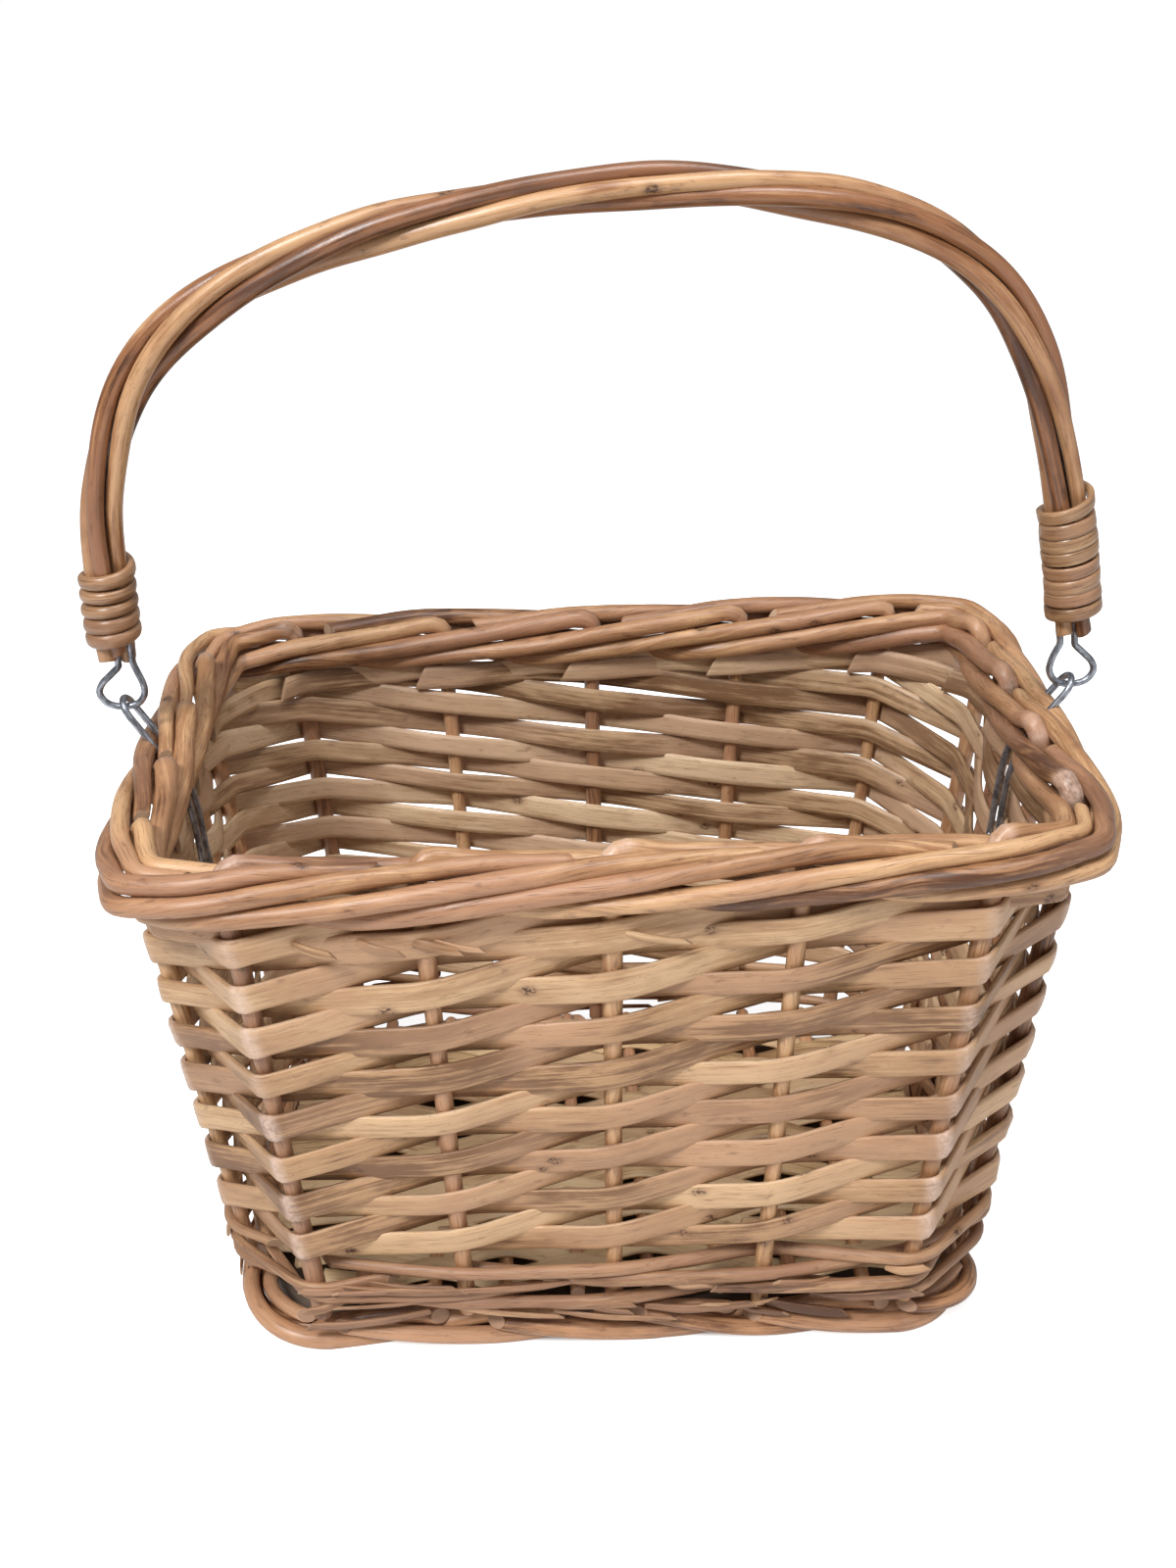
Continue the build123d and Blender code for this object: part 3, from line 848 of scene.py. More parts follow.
@dataclass(frozen=True)
class BasketForm:
    """The ring of stakes and the leaning walls that every strand follows."""

    rim_length: float = 290.0
    rim_width: float = 190.0
    rim_height: float = 182.0
    rim_rise: float = 5.0
    rim_corner: float = 32.0
    foot_length: float = 246.0
    foot_width: float = 172.0
    foot_corner: float = 26.0
    long_wall_stakes: int = 5
    short_wall_stakes: int = 4
    border_radius: float = 7.85
    foot_height: float = 5.8
    foot_top: float = 12.0
    base_height: float = 14.7
    wale_start: float = 19.3
    weave_bottom: float = 34.6
    weave_top: float = 171.05
    hinge_rise: float = 16.5
    handle_span: float = 315.0
    rim_squareness: float = 0.32
    foot_squareness: float = -0.12

    @property
    def stakes(self) -> int:
        """Return the number of stakes."""
        return 2 * (self.long_wall_stakes + self.short_wall_stakes)

    @property
    def hinge_height(self) -> float:
        """Return the height of the handle's hinge axis."""
        return self.rim_height + self.hinge_rise

    def ring_place(self, stake: float, half_length: float, half_width: float, corner: float,
                   squareness: float = 0.0) -> tuple[np.ndarray, np.ndarray]:
        """Return a place on a rounded rectangle.

        Args:
            stake: the stake number, which may lie between two stakes.
            half_length: half the ring's size along X.
            half_width: half its size along Y.
            corner: its corners' radius.
            squareness: 1 for square corners, 0 for round ones and -1 for corners cut straight across.

        Returns:
            The plan point and the outward direction.
        """
        stake %= self.stakes
        for quarter in range(4):
            gaps, reach, run = self.long_wall_stakes - 1, half_width, half_length - corner
            if quarter % 2:
                gaps, reach, run = self.short_wall_stakes - 1, half_length, half_width - corner
            turn = math.pi / 2 * quarter
            outward = np.array([math.sin(turn), -math.cos(turn), 0.0])
            ahead = np.array([math.cos(turn), math.sin(turn), 0.0])
            if stake <= gaps:
                return outward * reach + ahead * run * (2 * stake / gaps - 1), outward
            stake -= gaps
            if stake < 1:
                turned = outward * math.cos(math.pi / 2 * stake) + ahead * math.sin(math.pi / 2 * stake)
                aside = math.pi / 4 * (1 - abs(2 * stake - 1))
                square, cut = 1 / math.cos(aside), math.cos(math.pi / 4) / math.cos(math.pi / 4 - aside)
                bulge = 1 + abs(squareness) * ((square if squareness > 0 else cut) - 1)
                return outward * (reach - corner) + ahead * run + turned * corner * bulge, turned
            stake -= 1
        raise ValueError("the stake numbers don't close the ring")

    def wall_point(self, stake: float, height: float, depth: float = 0.0) -> np.ndarray:
        """Return a point of the leaning wall.

        Args:
            stake: the stake number.
            height: the height at the middle of the basket.
            depth: how far outside the stakes' middle it lies.

        Returns:
            The point.
        """
        foot, _ = self.ring_place(stake, self.foot_length / 2, self.foot_width / 2, self.foot_corner,
                                  self.foot_squareness)
        rim, outward = self.ring_place(stake, self.rim_length / 2, self.rim_width / 2, self.rim_corner,
                                       self.rim_squareness)
        foot[2] = self.foot_height
        rim[2] = self.rim_height + self.rim_rise * rim[0] / self.rim_length
        share = (height - self.foot_height) / (self.rim_height - self.foot_height)
        return foot + (rim - foot) * share + outward * depth

    def outward(self, stake: float) -> np.ndarray:
        """Return the outward direction of the wall at a stake number."""
        return self.ring_place(stake, self.rim_length / 2, self.rim_width / 2, self.rim_corner)[1]

    def stake_outward(self, stake: float) -> np.ndarray:
        """Return the outward direction half-way between the walls on both sides of a stake."""
        return unit(self.outward(stake - 0.5) + self.outward(stake + 0.5))

    def at_corner(self, stake: int) -> bool:
        """Tell whether a stake stands at a corner of the basket."""
        return abs(self.outward(stake - 0.5).dot(self.outward(stake + 0.5))) < NEARLY_STRAIGHT

    def on_short_wall(self, stake: int) -> bool:
        """Tell whether a stake faces more to a side than to the front or back."""
        return bool(abs(self.stake_outward(stake)[0]) > 0.5)

    def roll_point(self, stake: float, height: float, radius: float, turn: float) -> np.ndarray:
        """Return a point round a rolled border's axis.

        Args:
            stake: the stake number.
            height: the height of the roll's axis.
            radius: the distance from that axis.
            turn: the turn from the outer side over the top.

        Returns:
            The point.
        """
        angle = math.radians(turn)
        sideways = self.outward(stake) * radius * math.cos(angle)
        return self.wall_point(stake, height) + sideways + UP * radius * math.sin(angle)

    def woven_path(self, stakes: list[float], heights: list[float], sides: list[int],
                   depth: float) -> list[np.ndarray]:
        """Return the corners of a strand that keeps its depth from every stake it bends round.

        Args:
            stakes: the stakes passed.
            heights: the strand's height at each of them.
            sides: 1 for each stake passed outside and -1 for each one passed inside.
            depth: the distance from the middle of the stakes.

        Returns:
            One point for each stake.
        """
        rough = [self.wall_point(s, h) + self.stake_outward(s) * depth * side
                 for s, h, side in zip(stakes, heights, sides)]
        path = [rough[0]]
        for index in range(1, len(rough) - 1):
            arriving = unit((rough[index] - rough[index - 1])[:2])
            leaving = unit((rough[index + 1] - rough[index])[:2])
            half_turn = math.acos(min(float(arriving.dot(leaving)), 1.0)) / 2
            reach = depth / math.cos(half_turn) * sides[index]
            middle = self.wall_point(stakes[index], heights[index])
            path.append(middle + self.stake_outward(stakes[index]) * reach)
        return path + [rough[-1]]


@dataclass
class StakesAndRim:
    """The upright stakes, each of which kinks over and runs on as a strand of the rolled rim border.

    ripple_pace and swing_pace each hold a pace along the border and how much the stake's own lean counts.
    kinks holds each crease's distance beyond the knuckle and its share of the stake's shine.
    """

    form: BasketForm
    diameter: float = 5.9
    profile: tuple[float, ...] = (1.0, 0.97, 1.0, 1.05, 1.13, 1.15, 1.13, 1.1, 1.04, 0.84)
    flatness: float = 0.95
    strand_step: float = 51.0
    crossing: float = 54.0
    crossing_after: float = 2.0
    lean_heights: tuple[float, float] = (60.0, 115.0)
    lean_across: float = 0.006
    lean_out: float = 0.3
    shoulder_drop: float = 6.0
    entry_radius: float = 0.75
    entry_turn: float = 262.0
    kink_radius: float = 0.72
    knuckle_radius: float = 1.05
    knuckle_spread: float = 0.13
    knuckle_turn: float = 115.0
    short_wall_proud: float = 0.16
    swings: tuple[float, float] = (8.0, 14.0)
    ripple: float = 0.08
    reach: float = 5.8
    tuck: float = 0.32
    tuck_length: float = 0.7
    foot_clearance: float = 0.2
    neck_drop: float = 1.0
    knuckle_run: float = 0.2
    ripple_pace: tuple[float, float] = (2.6, 9.0)
    swing_pace: tuple[float, float] = (1.4, 7.0)
    sizes: tuple[float, float] = (0.92, 1.10)
    shines: tuple[float, float] = (0.3, 0.95)
    kinks: tuple[tuple[float, float], ...] = ((0.0, 1.0), (5.0, 0.7), (-6.0, 0.3))
    samples: int = 6
    spacing: float = 2.6

    def strand_turn(self, passed: float) -> float:
        """Return a strand's turn round the roll after it has passed a number of stakes."""
        under = float(smoothstep(passed - self.crossing_after))
        return self.knuckle_turn + self.strand_step * passed + self.crossing * under

    def path(self, stake: int) -> tuple[np.ndarray, float]:
        """Return a stake's line and the distance of its kink.

        Args:
            stake: the stake number.

        Returns:
            The line from the foot border to the strand's cut end, and the kink's distance along it.
        """
        form, rim, roll = self.form, self.form.rim_height, self.form.border_radius
        lean = drawn(Draw.STAKE_LEAN, stake).uniform(-0.5, 0.5, 4)
        low, high = self.lean_heights
        aside = form.on_short_wall(stake)
        proud = self.knuckle_radius + self.knuckle_spread * lean[2] + self.short_wall_proud * aside
        ahead = form.wall_point(stake + 0.25, rim) - form.wall_point(stake, rim)
        kink = form.roll_point(stake, rim, self.kink_radius * roll, self.knuckle_turn)
        points = [
            form.wall_point(stake, form.foot_top + self.foot_clearance),
            form.wall_point(stake + self.lean_across * lean[0], low, self.lean_out * lean[1]),
            form.wall_point(stake + self.lean_across * lean[2], high, self.lean_out * lean[3]),
            form.wall_point(stake, form.weave_top - self.shoulder_drop),
            form.roll_point(stake, rim, self.entry_radius * roll, self.entry_turn),
            form.wall_point(stake, rim - self.neck_drop),
            kink,
            form.roll_point(stake, rim, proud * roll, self.knuckle_turn) + ahead * self.knuckle_run,
        ]
        steps = [s / self.samples for s in range(2, int(self.reach * self.samples) + 1)]
        for step in steps + [self.reach]:
            tucked = smoothstep((step - self.reach + self.tuck_length) / self.tuck_length)
            ripple = self.ripple * math.sin(self.ripple_pace[0] * step + self.ripple_pace[1] * lean[0])
            swing = self.swings[aside] * lean[3] * math.sin(self.swing_pace[0] * step
                                                            + self.swing_pace[1] * lean[1])
            radius = roll * (1 + ripple - self.tuck * tucked)
            turn = self.strand_turn(step) + swing
            points.append(form.roll_point(stake + step, rim, radius, turn))
        line = curved_line(points, self.spacing)
        bend = int(np.argmin(np.linalg.norm(line - kink, axis=1)))
        return line, float(travelled(line)[bend])

    def build(self, material: bpy.types.Material) -> None:
        """Make the stakes with their rim strands.

        Args:
            material: the border willow's finish.
        """
        for stake in range(self.form.stakes):
            line, kink = self.path(stake)
            chance = drawn(Draw.STAKE_SIZE, stake)
            shine = chance.uniform(*self.shines)
            diameter = self.diameter * chance.uniform(*self.sizes)
            strand = Strand(
                line, diameter, diameter * self.flatness, Seed.STAKE + stake, side=self.form.outward(stake),
                taper=self.profile, uneven=0.09, roll=60.0, slants=(0.3, 3.0), slant_turn=90 * (stake % 4),
                creases=tuple((kink + beyond, share * shine) for beyond, share in self.kinks),
            )
            make_strand(f"border_stake_{stake + 1:02d}", strand, material, Body.BASKET, Slot.BORDER,
                        f"stake_{stake + 1:02d}")


@dataclass
class RandWeave:
    """The eighteen split weavers that climb round the basket as a French rand.

    lean_box is the half length and the half width over which they lean outwards. back_wall is the place along
    Y where they start to narrow, and the length over which they do.
    """

    form: BasketForm
    rounds: int = 8
    pitch: float = 8.33
    solid_width: float = 7.33
    width: float = 9.7
    thickness: float = 2.0
    depth: float = 4.2
    behind_lift: float = 2.0
    front_drop: float = 0.3
    height_spread: float = 0.7
    closing_lift: float = 0.8
    wander: float = 0.4
    lean_out: float = 0.12
    back_narrowing: float = 0.14
    tail: float = 9.0
    tip: float = 12.0
    soft_bend: float = 9.0
    sharp_bend: float = 3.6
    spacing: float = 2.4
    taper_points: int = 60
    sizes: tuple[float, float] = (0.90, 1.09)
    swells: tuple[float, float] = (0.90, 1.12)
    swell_count: int = 7
    last_swells: tuple[float, float] = (1.06, 1.04)
    # The crease strengths at corner and other stakes also set the painted highlight on each fold.
    corner_creases: tuple[float, float] = (0.55, 0.95)
    other_crease: float = 0.25
    lean_box: tuple[float, float] = (150.0, 95.0)
    back_wall: tuple[float, float] = (30.0, 50.0)

    def route(self, first: int,
              chance: np.random.Generator) -> tuple[np.ndarray, np.ndarray, list[np.ndarray]]:
        """Return one weaver's line.

        Args:
            first: the stake that its butt end lies behind.
            chance: the weaver's random numbers.

        Returns:
            The line from butt to tip, the distances of its points, and its places at the stakes.
        """
        form, last = self.form, 2 * self.rounds
        stakes = [first + level for level in range(last + 2)]
        sides = [1 if level % 2 else -1 for level in range(last + 2)]
        bottom = form.weave_bottom + self.solid_width / 2
        heights = []
        for level, side in enumerate(sides):
            lift = self.behind_lift if side < 0 and level < last else -self.front_drop
            spread = chance.uniform(-self.height_spread, self.height_spread)
            heights.append(bottom + self.pitch * level + lift + spread)
        heights[last - 1] += self.closing_lift
        heights[last] = bottom + self.pitch * (last - 0.5) + self.closing_lift
        path = form.woven_path(stakes, heights, sides, self.depth)
        end = first + last
        climb = form.wall_point(end, heights[last]) - form.wall_point(end, heights[last - 1])
        middle = (path[last - 1] + path[last] + climb) / 2
        backward = unit(form.wall_point(first - 1, 0) - form.wall_point(first, 0))
        forward = unit(form.wall_point(end + 1, 0) - form.wall_point(end, 0))
        butt, tip = path[0] + backward * self.tail, path[last] + forward * self.tip
        bends = [self.sharp_bend if form.at_corner(stake) else self.soft_bend for stake in stakes]
        line = bent_line([butt] + path[:last] + [middle, path[last], tip],
                         [0.0] + bends[:last] + [self.soft_bend, bends[last], 0.0], self.spacing)
        along = travelled(line)
        line[:, 2] += self.wander * Waves(Seed.WEAVER + first).at(along, Channel.WEAVER_HEIGHT)
        return line, along, path[:last + 1]

    def strand(self, first: int) -> Strand:
        """Return one weaver.

        Args:
            first: the stake that its butt end lies behind.

        Returns:
            The weaver from butt to tip.
        """
        chance = drawn(Draw.WEAVER, first)
        line, along, path = self.route(first, chance)
        creases = []
        for level, place in enumerate(path):
            sharp = self.form.at_corner(first + level)
            strength = chance.uniform(*self.corner_creases) if sharp else self.other_crease * chance.uniform()
            if level % 2:
                distance = along[np.argmin(np.linalg.norm(line - place, axis=1))]
                creases.append((float(distance), strength))
        half_length, half_width = self.lean_box
        upright = np.array([unit(UP + self.lean_out * np.array([x / half_length, y / half_width, 0.0]))
                            for x, y, _ in line])
        profile = np.append(chance.uniform(*self.swells, self.swell_count), self.last_swells)
        places = spaced(line, along[-1] / self.taper_points)
        from_front, run = self.back_wall
        behind = 1 - self.back_narrowing * smoothstep((places[:, 1] - from_front) / run)
        taper = np.interp(np.linspace(0, 1, len(places)), np.linspace(0, 1, len(profile)), profile) * behind
        return Strand(
            line, self.width * chance.uniform(*self.sizes), self.thickness, Seed.WEAVER + first,
            Section.SPLIT, upright, carried=False, taper=tuple(taper), uneven=0.05, roll=5.0,
            slants=(1.5, 4.0), slant_turn=0.0, creases=tuple(creases),
        )

    def build(self, material: bpy.types.Material) -> None:
        """Make the weavers.

        Args:
            material: the split willow's finish.
        """
        for first in range(self.form.stakes):
            make_strand(f"split_weaver_{first + 1:02d}", self.strand(first), material,
                        Body.BASKET, Slot.SPLIT, f"weaver_{first + 1:02d}")


@dataclass
class Wale:
    """The four rows of thin rods between the foot border and the rand."""

    form: BasketForm
    rows: int = 4
    diameter: float = 4.5
    flatness: float = 0.92
    pitch: float = 4.4
    depth: float = 5.0
    stroke: int = 3
    bend: float = 9.0
    wander: float = 0.7
    last_run: float = 0.6
    spacing: float = 2.8

    def strand(self, row: int) -> Strand:
        """Return one row's rod.

        Args:
            row: the row's number, from below.

        Returns:
            The rod.
        """
        form = self.form
        first = (self.stroke - 1) * row % self.stroke
        numbers = range(form.stakes + 1)
        heights = [form.wale_start + row * self.pitch for _ in numbers]
        sides = [1 if number % self.stroke else -1 for number in numbers]
        path = form.woven_path([first + number for number in numbers], heights, sides, self.depth)
        path[-1] = path[-2] + (path[-1] - path[-2]) * self.last_run
        line = bent_line(path, [self.bend] * len(path), self.spacing)
        line[:, 2] += self.wander * Waves(Seed.WALE + row).at(travelled(line), Channel.ROW_HEIGHT)
        return Strand(line, self.diameter, self.diameter * self.flatness, Seed.WALE + row, taper=(1.05, 0.85),
                      uneven=0.1, roll=40.0, slants=(4.0, 5.0))

    def build(self, material: bpy.types.Material) -> None:
        """Make the wale.

        Args:
            material: the wale willow's finish.
        """
        for row in range(self.rows):
            make_strand(f"wale_row_{row + 1}", self.strand(row), material, Body.BASKET, Slot.WALE,
                        f"wale_rod_{row + 1}")


@dataclass
class LooseFibres:
    """The split ends and slivers that stand out a little from the wale and from under the rim.

    course holds the share of its run, of its depth and of its climb that each point of a sliver has.
    """

    form: BasketForm
    wale_count: int = 96
    wale_top: float = 14.0
    least_reach: float = 0.25
    proud: tuple[float, float] = (6.4, 8.0)
    short_wall_sunk: float = 2.2
    widths: tuple[float, float] = (1.6, 3.4)
    thinness: float = 0.5
    course: tuple[tuple[float, float, float], ...] = (
        (0.0, 0.45, 0.0), (0.35, 0.85, 0.25), (0.7, 0.97, 0.7), (1.0, 1.0, 1.0),
    )
    reaches: tuple[float, float] = (0.3, 1.0)
    overrun: float = 0.1
    most_climb: float = 3.5
    rim_count: int = 9
    rim_height: float = 166.0
    rim_seed: int = 60
    rim_places: tuple[float, float] = (0.3, 3.2)
    rim_proud: tuple[float, float] = (7.0, 8.0)
    rim_reaches: tuple[float, float] = (0.2, 0.4)
    rim_droop: float = -2.5
    packing_count: int = 4
    packing_height: float = 169.5
    packing_width: float = 8.0
    packing_thickness: float = 1.2
    packing_depth: float = -0.8
    packing_rise: float = 0.8
    packing_steps: int = 8

    def sliver(self, number: int, stake: float, height: float, climb: float, depth: float,
               reach: float) -> Strand:
        """Return one sliver, which comes out from between the strands and lies along them.

        Args:
            number: its number, which seeds its own unevenness.
            stake: the stake number where it comes out.
            height: its height there.
            climb: how much higher its free end is.
            depth: how far its free end stands outside the stakes' middle.
            reach: how many stakes it passes, below zero where it points to the left.

        Returns:
            The sliver.
        """
        points = [self.form.wall_point(stake + reach * share, height + climb * rise, depth * out)
                  for share, out, rise in self.course]
        width = drawn(Draw.SLIVER_SIZE, number).uniform(*self.widths)
        return Strand(curved_line(points, 1.6), width, width * self.thinness, Seed.SLIVER + number,
                      Section.SPLIT, UP, carried=False, taper=(0.7, 1.0, 0.95, 0.75), uneven=0.12, roll=25.0,
                      slants=(0.1, 2.5), slant_turn=0.0)

    def packing(self, number: int) -> Strand:
        """Return one strip of the packing under the rim.

        Args:
            number: the quarter of the basket where it starts.

        Returns:
            The strip.
        """
        form = self.form
        start = form.stakes * number / self.packing_count
        line = [form.wall_point(start + step / self.packing_steps,
                                self.packing_height + self.packing_rise * math.sin(step + number),
                                self.packing_depth) for step in range(2 * form.stakes + 3)]
        return Strand(curved_line(line, 3.0), self.packing_width, self.packing_thickness,
                      Seed.PACKING + number, Section.SPLIT, UP, carried=False, uneven=0.12,
                      slants=(2.0, 2.0), slant_turn=0.0)

    def build(self, wale: bpy.types.Material, split: bpy.types.Material) -> None:
        """Make the slivers and the packing.

        Args:
            wale: the finish of those in the wale.
            split: the finish of those under the rim.
        """
        chance = np.random.default_rng(Draw.SLIVER_PLACE)
        form = self.form
        top = form.wale_start + self.wale_top
        in_wale, in_rim, packing = Piece("wale_slivers"), Piece("rim_slivers"), Piece("rim_packing")
        corners = [stake for stake in range(form.stakes) if form.at_corner(stake)]
        for number in range(self.wale_count):
            wall = number % 4
            first, last = corners[2 * wall], corners[2 * wall + 1]
            stake = chance.uniform(first, last)
            height = chance.uniform(form.foot_top + 1, top)
            reach = chance.choice([-1, 1]) * chance.uniform(*self.reaches)
            reach = float(np.clip(stake + reach, first - self.overrun, last + self.overrun) - stake)
            if abs(reach) < self.least_reach:
                continue
            climb = chance.uniform(-self.most_climb, self.most_climb)
            climb = float(np.clip(climb, form.foot_top - height, top + 2 - height))
            depth = chance.uniform(*self.proud) - self.short_wall_sunk * (wall % 2)
            in_wale.add(self.sliver(number, stake, height, climb, depth, reach))
        for number in range(self.rim_count):
            stake = form.stakes / 2 * (number % 2) + chance.uniform(*self.rim_places)
            depth, reach = chance.uniform(*self.rim_proud), chance.uniform(*self.rim_reaches)
            in_rim.add(self.sliver(self.rim_seed + number, stake, self.rim_height, self.rim_droop, depth,
                                   reach))
        for number in range(self.packing_count):
            packing.add(self.packing(number))
        in_wale.make(wale, Body.BASKET, Slot.WALE)
        in_rim.make(split, Body.BASKET, Slot.SPLIT)
        packing.make(split, Body.BASKET, Slot.SPLIT)


@dataclass
class FootBorder:
    """The short rods rolled round each other under the walls, one from every stake."""

    form: BasketForm
    diameter: float = 6.4
    radius: float = 3.7
    strands: int = 3
    reach: float = 2.8
    start_turn: float = 70.0
    shift: float = 0.15
    swing: float = 14.0
    flatness: float = 0.94
    sizes: tuple[float, float] = (0.88, 1.1)
    # The crease strength at each corner also sets the painted highlight there.
    crease: float = 0.3
    samples: int = 8
    spacing: float = 2.4

    def rod(self, start: int) -> Strand:
        """Return one rod.

        Args:
            start: the stake at which it starts.

        Returns:
            The rod.
        """
        form = self.form
        stake_turn = 360 / self.strands
        chance = drawn(Draw.FOOT, start)
        shift = chance.uniform(-self.shift, self.shift)
        swing = chance.uniform(-self.swing, self.swing)
        steps = [s / self.samples for s in range(int(self.reach * self.samples) + 1)] + [self.reach]
        line = curved_line([
            form.roll_point(start + shift + s, form.foot_height, self.radius,
                            self.start_turn + swing * math.cos(2 * s) - stake_turn * s) for s in steps
        ], self.spacing)
        diameter = self.diameter * chance.uniform(*self.sizes)
        return Strand(line, diameter, diameter * self.flatness, Seed.FOOT + start, side=form.outward(start),
                      taper=(0.86, 1.04, 1.06, 1.0, 0.84), uneven=0.1, slants=(6.0, 5.0), slant_turn=-35.0,
                      creases=tuple((place, self.crease) for place in self.corner_places(line, start)))

    def build(self, material: bpy.types.Material) -> None:
        """Make the foot border, worn flat where it would pass the ground.

        Args:
            material: the foot willow's finish.
        """
        piece = Piece("foot_border_rods")
        for start in range(self.form.stakes):
            piece.add(self.rod(start))
        for ring in piece.points:
            np.maximum(ring[:, 2], 0.0, out=ring[:, 2])
        piece.make(material, Body.BASKET, Slot.FOOT, "foot_border")

    def corner_places(self, line: np.ndarray, start: int) -> list[float]:
        """Return the distances at which a rod turns the basket's corners.

        Args:
            line: the rod's line.
            start: the stake at which it starts.

        Returns:
            One distance for each corner stake that it passes.
        """
        along = travelled(line)
        places = []
        for stake in range(start + 1, start + int(self.reach) + 1):
            if self.form.at_corner(stake):
                place = self.form.wall_point(stake, self.form.foot_height)
                places.append(float(along[np.argmin(np.linalg.norm(line - place, axis=1))]))
        return places


@dataclass
class Base:
    """The base: sticks from front to back, with flat split strips woven along the basket."""

    form: BasketForm
    stick_diameter: float = 5.0
    clearance: float = 0.3
    overhang: float = -3.5
    strip_width: float = 10.8
    strip_thickness: float = 1.6
    pitch: float = 10.2
    margin: float = 5.0
    stick_spacing: float = 4.0
    strip_spacing: float = 3.0
    end_rise: float = 0.2

    def stick_places(self) -> list[float]:
        """Return the places of the sticks.

        Returns:
            Their places along X.
        """
        form = self.form
        gap = (form.foot_length - 2 * form.foot_corner) / (form.long_wall_stakes - 1)
        count = 2 * (form.long_wall_stakes - 1)
        return [gap / 2 * (number - (count - 1) / 2) for number in range(count)]

    def sticks(self) -> Piece:
        """Return the sticks' mesh.

        Returns:
            The piece that they fill.
        """
        piece = Piece("base_cross_sticks")
        end, height = self.form.foot_width / 2 + self.overhang, self.form.base_height
        for number, x in enumerate(self.stick_places()):
            line = spaced(np.array([[x, -end, height], [x, end, height]]), self.stick_spacing)
            piece.add(Strand(line, self.stick_diameter, self.stick_diameter, Seed.STICK + number,
                             uneven=0.03))
        return piece

    def strips(self) -> Piece:
        """Return the woven strips' mesh.

        Returns:
            The piece that they fill.
        """
        form = self.form
        piece = Piece("base_split_weave")
        half_length, half_width = form.foot_length / 2 - self.margin, form.foot_width / 2 - self.margin
        chamfer = (form.foot_length + form.foot_width) / 2 - form.foot_corner - self.margin * math.sqrt(2)
        count = int((2 * half_width + 1) / self.pitch)
        offset = self.stick_diameter / 2 + self.clearance
        for number in range(count):
            y = (number - (count - 1) / 2) * self.pitch
            end = min(half_length, chamfer - abs(y) - self.strip_width / 2)
            waves = [(x, offset if (index + number) % 2 else -offset)
                     for index, x in enumerate(self.stick_places())]
            waves = [(-end, waves[0][1] * self.end_rise)] + waves + [(end, waves[-1][1] * self.end_rise)]
            line = curved_line([np.array([x, y, form.base_height + rise]) for x, rise in waves],
                               self.strip_spacing)
            piece.add(Strand(line, self.strip_width, self.strip_thickness, Seed.STRIP + number, Section.SPLIT,
                             -BACK, uneven=0.05, slants=(1.0, 1.0)))
        return piece

    def build(self, round_finish: bpy.types.Material, split_finish: bpy.types.Material) -> None:
        """Make the base.

        Args:
            round_finish: the sticks' finish.
            split_finish: the strips' finish.
        """
        self.sticks().make(round_finish, Body.BASKET, Slot.FOOT, "base_sticks")
        self.strips().make(split_finish, Body.BASKET, Slot.SPLIT, "base_weave")


